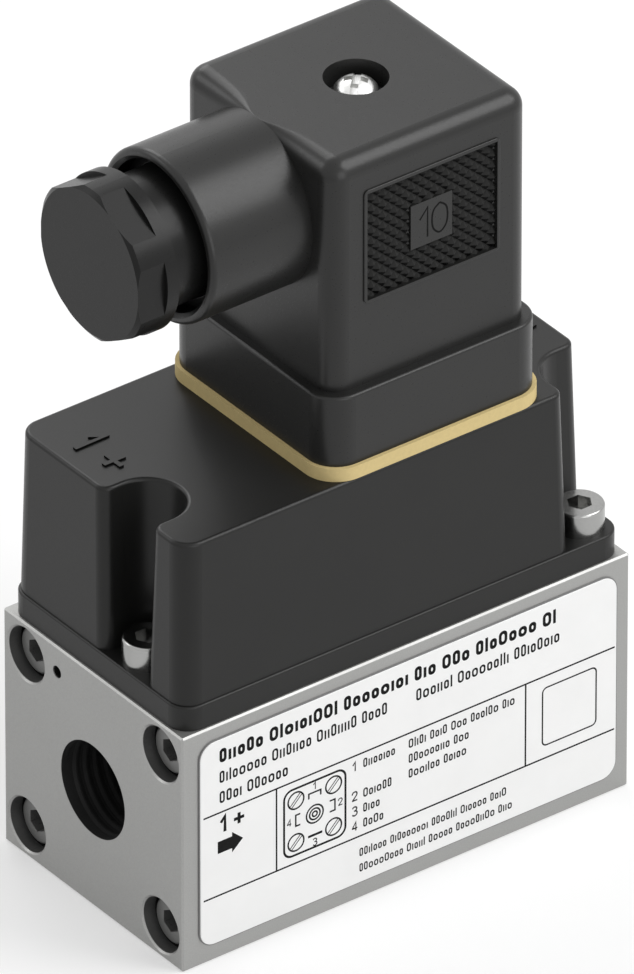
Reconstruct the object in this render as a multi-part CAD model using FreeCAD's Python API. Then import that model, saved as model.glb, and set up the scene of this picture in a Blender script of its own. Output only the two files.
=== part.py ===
import FreeCAD, Part
import math
import os
from FreeCAD import Vector

# Differential pressure transmitter: a metal block of two halves that clamp a pressure cell
# between two threaded ports, a moulded electronics housing on top, and a square cable
# connector with a blind gland cap that plugs onto the housing.
# All sizes in millimetres. Origin: centre of the block's underside. +X runs from the first
# port to the second, -Y is the side with the rating label, +Z is up.

# Metal block
BLOCK_LENGTH = 60.0
BLOCK_DEPTH = 32.0
BLOCK_HEIGHT = 30.0
BLOCK_EDGE = 0.2

# Pressure ports, drilled for G1/4 threads
PORT_RADIUS = 5.7225
PORT_DEPTH = 14.0
PORT_CHAMFER = 0.25
PASSAGE_RADIUS = 1.5
DRILL_POINT_ANGLE = 59.0

# Pressure cell and its seals, held between the two halves
CELL_RADIUS = 9.0
CELL_THICKNESS = 6.4
CELL_CLEARANCE = 0.3
CELL_SEAL_GAP = 0.5
CELL_RIM = 0.4
ORING_SECTION_RADIUS = 0.75
ORING_RADIUS = 5.8
ORING_GROOVE_SIDE = 0.25

# Cap screws with a hexagon socket, used for the block and for the housing
CAP_SHANK_RADIUS = 1.5
CAP_HEAD_RADIUS = 2.75
CAP_HEAD_HEIGHT = 3.0
CAP_HEAD_EDGE = 0.3
CAP_SOCKET_FLATS = 2.5
CAP_SOCKET_DEPTH = 1.6
THREAD_CLEARANCE = 0.03
SHANK_CLEARANCE = 0.2
BLOCK_SCREW_INSET_Y = 4.0
BLOCK_SCREW_INSET_Z = 4.0
BLOCK_SCREW_SINK = 1.4
BLOCK_SCREW_GRIP = 9.4
COUNTERBORE_RADIUS = 3.25
COUNTERBORE_CHAMFER = 0.2
BLIND_HOLE_SPARE = 1.0
HOUSING_SCREW_GRIP = 6.0

# Vent drilling from the first end face up into the housing
VENT_RADIUS = 0.73
VENT_Y = 6.35
VENT_BELOW_TOP = 3.2
VENT_LENGTH = 7.0

# Rating label
LABEL_LENGTH = 55.9
LABEL_HEIGHT = 25.9
LABEL_THICKNESS = 0.25
LABEL_CORNER = 1.9
LABEL_OFFSET_X = 0.2
LABEL_OFFSET_Z = 0.2

# Electronics housing
FLANGE_SIDE_GAP = 0.4
FLANGE_HEIGHT = 3.0
FLANGE_CORNER = 2.6
FLANGE_EDGE = 0.25
BODY_HEIGHT = 20.2
BODY_FOOT_STEP = 0.25
BODY_DRAFT = 0.42
BODY_CORNER = 2.5
BODY_TOP_EDGE = 0.45
HOUSING_WALL = 2.0
HOUSING_ROOF = 3.0
NOTCH_RADIUS = 4.25
NOTCH_DRAFT = 0.6
NOTCH_MOUTH = 1.4
LEFT_NOTCH_INSET = 3.3
LEFT_NOTCH_Y = -4.9
RIGHT_NOTCH_INSET_X = 3.4
RIGHT_NOTCH_INSET_Y = 3.5
CAVITY_CORNER = 1.2
HOUSING_SEAL_WIDTH = 1.0
HOUSING_SEAL_HEIGHT = 1.2
SEAL_CLEARANCE = 0.1

# Circuit board and what stands on it
BOARD_LENGTH = 38.0
BOARD_DEPTH = 23.0
BOARD_THICKNESS = 1.6
BOARD_CORNER = 1.5
SPACER_FLATS = 4.5
SPACER_HEIGHT = 8.0
SPACER_INSET_X = 3.0
SPACER_INSET_Y = 4.0
STUD_RADIUS = 1.25
STUD_LENGTH = 4.5
BOARD_SCREW_RADIUS = 0.8
BOARD_SCREW_LENGTH = 5.0
BOARD_SCREW_HEAD_RADIUS = 1.7
BOARD_SCREW_HEAD_HEIGHT = 1.1
CHIP_SIDE = 7.0
CHIP_HEIGHT = 1.2
CHIP_X = -8.3
CHIP_Y = 5.4
LEAD_WIDTH = 0.35
LEAD_REACH = 0.9
LEAD_PITCH = 1.0
LEAD_HEIGHT = 0.5
REGULATOR_LENGTH = 6.4
REGULATOR_WIDTH = 3.6
REGULATOR_HEIGHT = 1.7
REGULATOR_X = -7.0
REGULATOR_Y = -6.0
CAPACITOR_RADIUS = 2.4
CAPACITOR_HEIGHT = 5.4
CAPACITOR_FOOT = 0.6
CAPACITOR_X = -15.8
CAPACITOR_SPACING = 6.0
FLEX_WIDTH = 7.0
FLEX_THICKNESS = 0.3
FLEX_BEND = 2.0
FLEX_RUN = 5.0
FLEX_SLOT_LENGTH = 3.4
FLEX_SLOT_DEPTH = 9.0
SOCKET_LENGTH = 3.2
SOCKET_WALL = 0.8

# Flat gasket between housing and connector
GASKET_SIDE = 29.9
GASKET_THICKNESS = 1.6
GASKET_CORNER = 4.0
GASKET_OPENING = 24.8
GASKET_OPENING_CORNER = 2.0

# Plug base in the housing roof, with its blades and threaded insert
CONNECTOR_X = 5.2
BASE_SIDE = 24.0
BASE_CORNER = 1.5
BASE_FLANGE = 1.5
BASE_FIT = 0.15
BASE_BODY_SIDE = 20.4
BASE_BODY_DEPTH = 5.0
BASE_BOSS_RADIUS = 4.4
BASE_BOSS_HEIGHT = 5.0
BASE_SCREW_SPACING = 17.8
BASE_SCREW_HEAD_RADIUS = 2.3
BASE_SCREW_HEAD_HEIGHT = 1.3
BASE_SCREW_RADIUS = 1.1
BASE_SCREW_LENGTH = 5.5
BASE_SCREW_SLOT = 0.7
ROOF_BOSS_RADIUS = 2.0
ROOF_BOSS_DEPTH = 3.5
BLADE_WIDTH = 6.3
BLADE_THICKNESS = 0.8
BLADE_SPACING = 18.0
BLADE_HEIGHT = 9.5
BLADE_TAIL = 2.0
EARTH_BLADE_EXTRA = 1.0
BLADE_TIP = 0.25
WIRE_RADIUS = 0.5
INSERT_RADIUS = 2.9
INSERT_COLLAR_RADIUS = 3.3
INSERT_COLLAR_HEIGHT = 0.8
INSERT_DEPTH = 6.0

# Connector cover
SKIRT_SIDE = 29.0
SKIRT_HEIGHT = 8.7
SKIRT_CORNER = 3.6
SKIRT_OPENING = 26.0
SKIRT_EDGE = 0.35
COVER_SIDE = 26.6
COVER_HEIGHT = 28.5
COVER_CORNER = 2.4
COVER_EDGE = 2.2
COVER_WALL = 1.8
COVER_ROOF = 2.4
SADDLE_HALF_WIDTH = 6.4
SADDLE_MID_SHARE = 0.52
SADDLE_TOP_RADIUS = 0.12
SCREW_WELL_RADIUS = 3.57
SCREW_WELL_DEPTH = 3.4
SCREW_TOWER_RADIUS = 5.0
SCREW_TOWER_DEPTH = 8.0

# Cable barrel and gland
BARREL_RADIUS = 10.0
BARREL_LENGTH = 13.2
BARREL_RIM = 0.7
BARREL_MOUTH_RADIUS = 8.7
BARREL_MOUTH_LIP = 0.45
BARREL_MOUTH_DEPTH = 2.4
BARREL_SEAT_RADIUS = 5.0
GLAND_THREAD_RADIUS = 7.6
GLAND_CLEARANCE = 0.08
SEAL_LENGTH = 4.6
SEAL_HOLE_RADIUS = 3.0
WASHER_THICKNESS = 0.8
WASHER_HOLE_RADIUS = 4.2
GLAND_SLACK = 0.3
GLAND_NECK_OUT = 3.76
GLAND_COLLAR = 1.54
GLAND_HEX_LENGTH = 3.5
GLAND_FLATS = 17.2
GLAND_ROUND_RADIUS = 9.2
GLAND_CHAMFER = 0.55
GLAND_CHAMFER_RISE = 0.4
GLAND_HOLLOW_RADIUS = 5.4
GLAND_END_WALL = 1.6

# Grip panel on both broad faces of the cover
GRIP_LENGTH = 17.3
GRIP_HEIGHT = 13.4
GRIP_RAISE = 0.2
GRIP_FRAME = 0.4
GRIP_FRAME_CORNER = 0.6
GRIP_DEPTH = 0.5
GRIP_BELOW_TOP = 11.3
GRIP_RIM_ROUND = 0.12
GRIP_PITCH_X = 1.53
GRIP_PITCH_Z = 1.38
TOOTH_HEIGHT = 0.5
BADGE_SIDE = 5.5
BADGE_HEIGHT = 0.5

# Contact carrier in the connector
CARRIER_FIT = 0.2
CARRIER_LIFT = 4.2
CARRIER_HEIGHT = 13.0
CARRIER_COLUMN_RADIUS = 4.4
BLADE_CLEARANCE = 0.3
CLIP_WALL = 0.6
CLIP_WIDTH = 6.9
CLIP_HEIGHT = 8.0
CLIP_ROOF = 1.0
TERMINAL_SCREW_RADIUS = 1.3
TERMINAL_HEAD_RADIUS = 2.0
TERMINAL_HEAD_HEIGHT = 1.4
TERMINAL_SLOT = 0.6
BOSS_CLEARANCE = 0.35

# Retaining screw with a domed head
RETAINER_RADIUS = 1.5
RETAINER_HEAD_RADIUS = 2.4
RETAINER_HEAD_HEIGHT = 2.6
RETAINER_DOME = 1.3
RETAINER_SLOT = 0.85
RETAINER_SLOT_DEPTH = 1.1
RETAINER_CROSS_REACH = 1.3
RETAINER_CROSS_DEPTH = 1.6
RETAINER_TURN = 45.0
RETAINER_ENGAGE = 4.0
RETAINER_CLEARANCE = 0.06
WELL_SEAL_THICKNESS = 0.7
WELL_SEAL_FIT = 0.15

# Places that follow from the sizes above
HALF_LENGTH = BLOCK_LENGTH / 2
HALF_DEPTH = BLOCK_DEPTH / 2
MID_HEIGHT = BLOCK_HEIGHT / 2
POCKET_DEPTH = CELL_THICKNESS / 2 + CELL_SEAL_GAP
FLANGE_X = HALF_LENGTH - FLANGE_SIDE_GAP
FLANGE_Y = HALF_DEPTH - FLANGE_SIDE_GAP
LEDGE_Z = BLOCK_HEIGHT + FLANGE_HEIGHT
HOUSING_TOP = LEDGE_Z + BODY_HEIGHT
ROOF_UNDERSIDE = HOUSING_TOP - HOUSING_ROOF
FOOT_X = FLANGE_X - BODY_FOOT_STEP
FOOT_Y = FLANGE_Y - BODY_FOOT_STEP
CAVITY_X = FOOT_X - BODY_DRAFT - HOUSING_WALL
CAVITY_Y = FOOT_Y - BODY_DRAFT - HOUSING_WALL
LEFT_NOTCH_X = -(FLANGE_X - LEFT_NOTCH_INSET)
RIGHT_NOTCH_X = FLANGE_X - RIGHT_NOTCH_INSET_X
RIGHT_NOTCH_Y = FLANGE_Y - RIGHT_NOTCH_INSET_Y
HOUSING_SCREW_PLACES = [
    (LEFT_NOTCH_X, LEFT_NOTCH_Y),
    (RIGHT_NOTCH_X, -RIGHT_NOTCH_Y),
    (RIGHT_NOTCH_X, RIGHT_NOTCH_Y),
]
BLOCK_SCREW_Y = HALF_DEPTH - BLOCK_SCREW_INSET_Y
BLOCK_SCREW_RISE = MID_HEIGHT - BLOCK_SCREW_INSET_Z
BLOCK_SCREW_PLACES = [
    (side * BLOCK_SCREW_Y, MID_HEIGHT + rise * BLOCK_SCREW_RISE)
    for side in (-1, 1)
    for rise in (-1, 1)
]
BOARD_BOTTOM = BLOCK_HEIGHT + SPACER_HEIGHT
BOARD_TOP = BOARD_BOTTOM + BOARD_THICKNESS
SPACER_PLACES = [
    (side * (BOARD_LENGTH / 2 - SPACER_INSET_X), end * (BOARD_DEPTH / 2 - SPACER_INSET_Y))
    for side in (-1, 1)
    for end in (-1, 1)
]
GASKET_TOP = HOUSING_TOP + GASKET_THICKNESS
SKIRT_TOP = GASKET_TOP + SKIRT_HEIGHT
COVER_TOP = SKIRT_TOP + COVER_HEIGHT
COVER_LEFT = CONNECTOR_X - COVER_SIDE / 2
BARREL_END = COVER_LEFT - BARREL_LENGTH
BARREL_Z = COVER_TOP - BARREL_RADIUS
BASE_BOTTOM = HOUSING_TOP - BASE_FLANGE - BASE_BODY_DEPTH
BOSS_TOP = HOUSING_TOP + BASE_BOSS_HEIGHT
BLADE_TOP = HOUSING_TOP + BLADE_HEIGHT
BLADE_BOTTOM = BASE_BOTTOM - BLADE_TAIL
CARRIER_BOTTOM = GASKET_TOP + CARRIER_LIFT
CARRIER_TOP = CARRIER_BOTTOM + CARRIER_HEIGHT
TOWER_BOTTOM = COVER_TOP - SCREW_TOWER_DEPTH
WELL_FLOOR = COVER_TOP - SCREW_WELL_DEPTH
RETAINER_SEAT = WELL_FLOOR + WELL_SEAL_THICKNESS
RETAINER_TIP = BOSS_TOP - RETAINER_ENGAGE
SEAT_X = COVER_LEFT - 3.0
SIDES = [(1, 0), (-1, 0), (0, 1), (0, -1)]
CORNERS = [(1, 1), (-1, 1), (-1, -1), (1, -1)]

UP = Vector(0, 0, 1)
LENGTHWISE = Vector(1, 0, 0)


def box(x0, x1, y0, y1, z0, z1):
    return Part.makeBox(x1 - x0, y1 - y0, z1 - z0, Vector(x0, y0, z0))


def centred_box(cx, cy, length, depth, z0, z1):
    return box(cx - length / 2, cx + length / 2, cy - depth / 2, cy + depth / 2, z0, z1)


def rod(radius, start, end):
    start, end = Vector(*start), Vector(*end)
    return Part.makeCylinder(radius, (end - start).Length, start, end - start)


def cone(radius_a, radius_b, start, end):
    start, end = Vector(*start), Vector(*end)
    return Part.makeCone(radius_a, radius_b, (end - start).Length, start, end - start)


def fuse_all(shapes):
    return shapes[0].fuse(shapes[1:]) if len(shapes) > 1 else shapes[0]


def rounded_wire(cx, cy, length, depth, radius, z):
    """A rectangle with round corners in a level plane."""
    points = []
    for index, (sx, sy) in enumerate(CORNERS):
        ox = cx + sx * (length / 2 - radius)
        oy = cy + sy * (depth / 2 - radius)
        for part in (0, 0.5, 1):
            angle = math.radians(90 * (index + part))
            points.append(Vector(ox + radius * math.cos(angle), oy + radius * math.sin(angle), z))
    edges = []
    for index in range(4):
        first, middle, last = points[3 * index : 3 * index + 3]
        edges.append(Part.Arc(first, middle, last).toShape())
        edges.append(Part.LineSegment(last, points[(3 * index + 3) % 12]).toShape())
    return Part.Wire(edges)


def rounded_block(cx, cy, length, depth, radius, z0, z1):
    face = Part.Face(rounded_wire(cx, cy, length, depth, radius, z0))
    return face.extrude(Vector(0, 0, z1 - z0))


def hexagon_prism(flats, start, axis, length, turn=0.0):
    """A hexagonal bar; turn 0 sets two flats square to the first cross direction."""
    axis = Vector(*axis)
    start = Vector(*start)
    across = Vector(0, 1, 0) if abs(axis.x) > 0.5 else LENGTHWISE
    other = axis.cross(across)
    corner = flats / math.sqrt(3)
    points = []
    for index in range(7):
        angle = math.radians(30 + turn + 60 * index)
        points.append(start + across * (corner * math.cos(angle)) + other * (corner * math.sin(angle)))
    return Part.Face(Part.makePolygon(points)).extrude(axis * length)


def edges_at_height(shape, z, tolerance=1e-4):
    """Edges that lie wholly in the level plane at z."""
    found = []
    for edge in shape.Edges:
        bounds = edge.BoundBox
        if abs(bounds.ZMin - z) < tolerance and abs(bounds.ZMax - z) < tolerance:
            found.append(edge)
    return found


def revolve_about_x(profile, centre_z):
    """Turn a closed (x, radius) outline about the barrel's axis."""
    points = [Vector(x, 0, centre_z + radius) for x, radius in profile]
    face = Part.Face(Part.makePolygon(points + points[:1]))
    return face.revolve(Vector(0, 0, centre_z), LENGTHWISE, 360)


def revolve_about_z(profile, centre_x):
    """Turn a closed (radius, z) outline about an upright axis."""
    points = [Vector(centre_x + radius, 0, z) for radius, z in profile]
    face = Part.Face(Part.makePolygon(points + points[:1]))
    return face.revolve(Vector(centre_x, 0, 0), UP, 360)


def cap_screw(shank_length):
    """Socket cap screw along +X, with the top of its head at the origin."""
    head = rod(CAP_HEAD_RADIUS, (0, 0, 0), (CAP_HEAD_HEIGHT, 0, 0))
    rim = [edge for edge in head.Edges if abs(edge.BoundBox.XMax) < 1e-6]
    head = head.makeFillet(CAP_HEAD_EDGE, rim)
    shank = rod(CAP_SHANK_RADIUS, (0, 0, 0), (CAP_HEAD_HEIGHT + shank_length, 0, 0))
    socket = hexagon_prism(CAP_SOCKET_FLATS, (0, 0, 0), (1, 0, 0), CAP_SOCKET_DEPTH)
    return head.fuse(shank).cut(socket)


def port_bore(side):
    """Port drilling from one end: thread bore, drill point and narrow passage."""
    mouth = side * HALF_LENGTH
    floor = side * (HALF_LENGTH - PORT_DEPTH)
    point = PORT_RADIUS / math.tan(math.radians(DRILL_POINT_ANGLE))
    tip = floor - side * (point - PASSAGE_RADIUS / math.tan(math.radians(DRILL_POINT_ANGLE)))
    return [
        rod(PORT_RADIUS, (mouth, 0, MID_HEIGHT), (floor, 0, MID_HEIGHT)),
        cone(
            PORT_RADIUS + PORT_CHAMFER,
            PORT_RADIUS,
            (mouth, 0, MID_HEIGHT),
            (mouth - side * PORT_CHAMFER, 0, MID_HEIGHT),
        ),
        cone(PORT_RADIUS, PASSAGE_RADIUS, (floor, 0, MID_HEIGHT), (tip, 0, MID_HEIGHT)),
        rod(PASSAGE_RADIUS, (tip, 0, MID_HEIGHT), (0, 0, MID_HEIGHT)),
    ]


def cell_pocket(side):
    """Half of the round chamber for the cell, with the seal groove in its floor."""
    floor = side * POCKET_DEPTH
    groove_floor = side * (CELL_THICKNESS / 2 + 2 * ORING_SECTION_RADIUS)
    chamber = rod(CELL_RADIUS + CELL_CLEARANCE, (0, 0, MID_HEIGHT), (floor, 0, MID_HEIGHT))
    reach = ORING_SECTION_RADIUS + ORING_GROOVE_SIDE
    groove = rod(ORING_RADIUS + reach, (0, 0, MID_HEIGHT), (groove_floor, 0, MID_HEIGHT))
    groove = groove.cut(rod(ORING_RADIUS - reach, (0, 0, MID_HEIGHT), (groove_floor, 0, MID_HEIGHT)))
    slot_x = sorted((0, side * FLEX_SLOT_LENGTH / 2))
    slot = box(*slot_x, -FLEX_SLOT_DEPTH / 2, FLEX_SLOT_DEPTH / 2, MID_HEIGHT, BLOCK_HEIGHT)
    return [chamber, groove, slot]


def block_half(side):
    """One half of the block, with its outer edges broken and the joint face left sharp."""
    end = side * HALF_LENGTH
    half = box(*sorted((0, end)), -HALF_DEPTH, HALF_DEPTH, 0, BLOCK_HEIGHT)
    outer = []
    for edge in half.Edges:
        bounds = edge.BoundBox
        if abs(bounds.XMin) > 1e-6 or abs(bounds.XMax) > 1e-6:
            outer.append(edge)
    half = half.makeChamfer(BLOCK_EDGE, outer)
    cuts = port_bore(side) + cell_pocket(side)
    for x, y in HOUSING_SCREW_PLACES:
        if x * side > 0:
            depth = HOUSING_SCREW_GRIP + BLIND_HOLE_SPARE
            cuts.append(
                rod(CAP_SHANK_RADIUS + THREAD_CLEARANCE, (x, y, BLOCK_HEIGHT), (x, y, BLOCK_HEIGHT - depth))
            )
    for x, y in SPACER_PLACES:
        if x * side > 0:
            cuts.append(
                rod(
                    STUD_RADIUS + THREAD_CLEARANCE,
                    (x, y, BLOCK_HEIGHT),
                    (x, y, BLOCK_HEIGHT - STUD_LENGTH - BLIND_HOLE_SPARE),
                )
            )
    return half, cuts


def p1_block():
    half, cuts = block_half(-1)
    face = -HALF_LENGTH
    for y, z in BLOCK_SCREW_PLACES:
        head_seat = face + BLOCK_SCREW_SINK + CAP_HEAD_HEIGHT
        cuts.append(rod(COUNTERBORE_RADIUS, (face, y, z), (head_seat, y, z)))
        cuts.append(rod(CAP_SHANK_RADIUS + SHANK_CLEARANCE, (face, y, z), (0, y, z)))
        cuts.append(
            cone(
                COUNTERBORE_RADIUS + COUNTERBORE_CHAMFER,
                COUNTERBORE_RADIUS,
                (face, y, z),
                (face + COUNTERBORE_CHAMFER, y, z),
            )
        )
    vent_z = BLOCK_HEIGHT - VENT_BELOW_TOP
    cuts.append(rod(VENT_RADIUS, (face, VENT_Y, vent_z), (face + VENT_LENGTH, VENT_Y, vent_z)))
    riser_x = face + VENT_LENGTH - VENT_RADIUS
    cuts.append(rod(VENT_RADIUS, (riser_x, VENT_Y, vent_z), (riser_x, VENT_Y, BLOCK_HEIGHT)))
    return half.cut(fuse_all(cuts))


def p2_block():
    half, cuts = block_half(1)
    for y, z in BLOCK_SCREW_PLACES:
        cuts.append(
            rod(CAP_SHANK_RADIUS + THREAD_CLEARANCE, (0, y, z), (BLOCK_SCREW_GRIP + BLIND_HOLE_SPARE, y, z))
        )
    return half.cut(fuse_all(cuts))


def block_screws():
    start = -HALF_LENGTH + BLOCK_SCREW_SINK
    shank = BLOCK_SCREW_GRIP - start - CAP_HEAD_HEIGHT
    screws = []
    for y, z in BLOCK_SCREW_PLACES:
        screw = cap_screw(shank)
        screw.translate(Vector(start, y, z))
        screws.append(screw)
    return Part.makeCompound(screws)


def sensing_cell():
    half = CELL_THICKNESS / 2
    disc = rod(CELL_RADIUS, (-half, 0, MID_HEIGHT), (half, 0, MID_HEIGHT))
    return disc.makeChamfer(CELL_RIM, [edge for edge in disc.Edges if len(edge.Vertexes) == 1])


def cell_seals():
    seals = []
    for side in (-1, 1):
        x = side * (CELL_THICKNESS / 2 + ORING_SECTION_RADIUS)
        seals.append(
            Part.makeTorus(ORING_RADIUS, ORING_SECTION_RADIUS, Vector(x, 0, MID_HEIGHT), LENGTHWISE)
        )
    return Part.makeCompound(seals)


def cell_flex():
    """Flat strip from the cell's rim up through the slot and over to its socket."""
    start = MID_HEIGHT + CELL_RADIUS
    level = BOARD_BOTTOM - SOCKET_WALL - FLEX_THICKNESS
    inner = FLEX_BEND
    outer = FLEX_BEND + FLEX_THICKNESS
    left = -FLEX_THICKNESS / 2
    centre_x = left + FLEX_THICKNESS + inner
    centre_z = level - inner
    end = centre_x + FLEX_RUN
    diagonal = math.sqrt(0.5)

    def at(x, z):
        return Vector(x, -FLEX_WIDTH / 2, z)

    edges = [
        Part.LineSegment(at(left, start), at(left, centre_z)).toShape(),
        Part.Arc(
            at(left, centre_z),
            at(centre_x - outer * diagonal, centre_z + outer * diagonal),
            at(centre_x, centre_z + outer),
        ).toShape(),
        Part.LineSegment(at(centre_x, centre_z + outer), at(end, centre_z + outer)).toShape(),
        Part.LineSegment(at(end, centre_z + outer), at(end, level)).toShape(),
        Part.LineSegment(at(end, level), at(centre_x, level)).toShape(),
        Part.Arc(
            at(centre_x, level),
            at(centre_x - inner * diagonal, centre_z + inner * diagonal),
            at(left + FLEX_THICKNESS, centre_z),
        ).toShape(),
        Part.LineSegment(
            at(left + FLEX_THICKNESS, centre_z), at(left + FLEX_THICKNESS, start)
        ).toShape(),
        Part.LineSegment(at(left + FLEX_THICKNESS, start), at(left, start)).toShape(),
    ]
    return Part.Face(Part.Wire(edges)).extrude(Vector(0, FLEX_WIDTH, 0))


def flex_socket():
    """Socket under the board that takes the end of the flat strip."""
    end = FLEX_THICKNESS / 2 + FLEX_BEND + FLEX_RUN
    strip_top = BOARD_BOTTOM - SOCKET_WALL
    body = box(
        end - SOCKET_LENGTH,
        end + SOCKET_WALL,
        -FLEX_WIDTH / 2 - SOCKET_WALL,
        FLEX_WIDTH / 2 + SOCKET_WALL,
        strip_top - FLEX_THICKNESS - SOCKET_WALL,
        BOARD_BOTTOM,
    )
    slot = box(
        end - SOCKET_LENGTH,
        end,
        -FLEX_WIDTH / 2,
        FLEX_WIDTH / 2,
        strip_top - FLEX_THICKNESS,
        strip_top,
    )
    return body.cut(slot)


def rating_label():
    flat = rounded_block(
        LABEL_OFFSET_X, 0, LABEL_LENGTH, LABEL_HEIGHT, LABEL_CORNER, 0, LABEL_THICKNESS
    )
    flat.rotate(Vector(0, 0, 0), LENGTHWISE, 90)
    flat.translate(Vector(0, -HALF_DEPTH, MID_HEIGHT + LABEL_OFFSET_Z))
    return flat


def notched_outline(level):
    """Outline of the housing body; level runs from 0 at the ledge to 1 at the top."""
    hx = FOOT_X - BODY_DRAFT * level
    hy = FOOT_Y - BODY_DRAFT * level
    notch = NOTCH_RADIUS - NOTCH_DRAFT * (1 - level)
    corner = BODY_CORNER
    mouth = NOTCH_MOUTH
    z = LEDGE_Z + BODY_HEIGHT * level
    edges = []
    last = []

    def at(x, y):
        return Vector(x, y, z)

    def line_to(x, y):
        if last:
            edges.append(Part.LineSegment(last[0], at(x, y)).toShape())
        last[:] = [at(x, y)]

    def arc(cx, cy, radius, start, sweep):
        points = []
        for part in (0, 0.5, 1):
            angle = math.radians(start + sweep * part)
            points.append(at(cx + radius * math.cos(angle), cy + radius * math.sin(angle)))
        line_to(points[0].x, points[0].y)
        edges.append(Part.Arc(*points).toShape())
        last[:] = [points[2]]

    arc(-hx + corner, -hy + corner, corner, 180, 90)
    first = edges[0].Vertexes[0].Point
    arc(RIGHT_NOTCH_X - notch - mouth, -hy + mouth, mouth, 270, 90)
    arc(RIGHT_NOTCH_X, -RIGHT_NOTCH_Y, notch, 180, -90)
    arc(hx - mouth, -RIGHT_NOTCH_Y + notch + mouth, mouth, 270, 90)
    arc(hx - mouth, RIGHT_NOTCH_Y - notch - mouth, mouth, 0, 90)
    arc(RIGHT_NOTCH_X, RIGHT_NOTCH_Y, notch, 270, -90)
    arc(RIGHT_NOTCH_X - notch - mouth, hy - mouth, mouth, 0, 90)
    arc(-hx + corner, hy - corner, corner, 90, 90)
    arc(-hx + mouth, LEFT_NOTCH_Y + notch + mouth, mouth, 180, 90)
    arc(LEFT_NOTCH_X, LEFT_NOTCH_Y, notch, 90, -180)
    arc(-hx + mouth, LEFT_NOTCH_Y - notch - mouth, mouth, 90, 90)
    line_to(first.x, first.y)
    return Part.Wire(edges)


def cavity_block(grow, z0, z1):
    """Space inside the housing walls, grown sideways by a margin and kept clear of the notches."""
    corner = CAVITY_CORNER + grow
    block = rounded_block(0, 0, 2 * (CAVITY_X + grow), 2 * (CAVITY_Y + grow), corner, z0, z1)
    keep = NOTCH_RADIUS + HOUSING_WALL - grow
    far = BLOCK_LENGTH
    left = rod(keep, (LEFT_NOTCH_X, LEFT_NOTCH_Y, z0), (LEFT_NOTCH_X, LEFT_NOTCH_Y, z1))
    block = block.cut(
        left.fuse(box(-far, LEFT_NOTCH_X, LEFT_NOTCH_Y - keep, LEFT_NOTCH_Y + keep, z0, z1))
    )
    for side in (-1, 1):
        y = side * RIGHT_NOTCH_Y
        post = rod(keep, (RIGHT_NOTCH_X, y, z0), (RIGHT_NOTCH_X, y, z1))
        beside = box(RIGHT_NOTCH_X, far, *sorted((side * far, y - side * keep)), z0, z1)
        behind = box(RIGHT_NOTCH_X - keep, far, *sorted((side * far, y)), z0, z1)
        block = block.cut(fuse_all([post, beside, behind]))
    return block


def base_screw_places():
    half = BASE_SCREW_SPACING / 2
    return [(CONNECTOR_X + sx * half, sy * half) for sx, sy in CORNERS]


def housing():
    flange = rounded_block(0, 0, 2 * FLANGE_X, 2 * FLANGE_Y, FLANGE_CORNER, BLOCK_HEIGHT, LEDGE_Z)
    flange = flange.makeFillet(FLANGE_EDGE, edges_at_height(flange, LEDGE_Z))
    body = Part.makeLoft([notched_outline(0), notched_outline(1)], True, True)
    body = body.makeFillet(BODY_TOP_EDGE, edges_at_height(body, HOUSING_TOP))
    shell = flange.fuse(body)
    shell = shell.cut(cavity_block(0, BLOCK_HEIGHT, ROOF_UNDERSIDE))
    rebate = cavity_block(HOUSING_SEAL_WIDTH, BLOCK_HEIGHT, BLOCK_HEIGHT + HOUSING_SEAL_HEIGHT)
    shell = shell.cut(rebate)
    bosses = []
    for x, y in base_screw_places():
        bosses.append(
            rod(ROOF_BOSS_RADIUS, (x, y, ROOF_UNDERSIDE - ROOF_BOSS_DEPTH), (x, y, ROOF_UNDERSIDE))
        )
    shell = shell.fuse(bosses)
    cuts = [
        rounded_block(
            CONNECTOR_X,
            0,
            BASE_SIDE + 2 * BASE_FIT,
            BASE_SIDE + 2 * BASE_FIT,
            BASE_CORNER,
            HOUSING_TOP - BASE_FLANGE,
            HOUSING_TOP,
        ),
        rounded_block(
            CONNECTOR_X,
            0,
            BASE_BODY_SIDE + 2 * BASE_FIT,
            BASE_BODY_SIDE + 2 * BASE_FIT,
            BASE_CORNER,
            ROOF_UNDERSIDE,
            HOUSING_TOP,
        ).common(base_body_outline(BASE_FIT, ROOF_UNDERSIDE, HOUSING_TOP)),
    ]
    for x, y in base_screw_places():
        tip = HOUSING_TOP - BASE_SCREW_LENGTH
        cuts.append(rod(BASE_SCREW_RADIUS + THREAD_CLEARANCE, (x, y, tip), (x, y, HOUSING_TOP)))
    for x, y in HOUSING_SCREW_PLACES:
        cuts.append(rod(CAP_SHANK_RADIUS + SHANK_CLEARANCE, (x, y, BLOCK_HEIGHT), (x, y, LEDGE_Z)))
    return shell.cut(fuse_all(cuts))


def base_body_outline(grow, z0, z1):
    """Plus-shaped body under the plug base, which leaves its corners to the fixing screws."""
    long_side = BASE_BODY_SIDE + 2 * grow
    arm = BASE_SCREW_SPACING - 2 * (ROOF_BOSS_RADIUS + BASE_FIT) - BASE_FIT + 2 * grow
    return centred_box(CONNECTOR_X, 0, long_side, arm, z0, z1).fuse(
        centred_box(CONNECTOR_X, 0, arm, long_side, z0, z1)
    )


def housing_screws():
    screws = []
    shank = FLANGE_HEIGHT + HOUSING_SCREW_GRIP
    for x, y in HOUSING_SCREW_PLACES:
        screw = cap_screw(shank)
        screw.rotate(Vector(0, 0, 0), Vector(0, 1, 0), 90)
        screw.translate(Vector(x, y, LEDGE_Z + CAP_HEAD_HEIGHT))
        screws.append(screw)
    return Part.makeCompound(screws)


def housing_seal():
    top = BLOCK_HEIGHT + HOUSING_SEAL_HEIGHT
    ring = cavity_block(HOUSING_SEAL_WIDTH - SEAL_CLEARANCE, BLOCK_HEIGHT, top)
    return ring.cut(cavity_block(0, BLOCK_HEIGHT, top))


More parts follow.
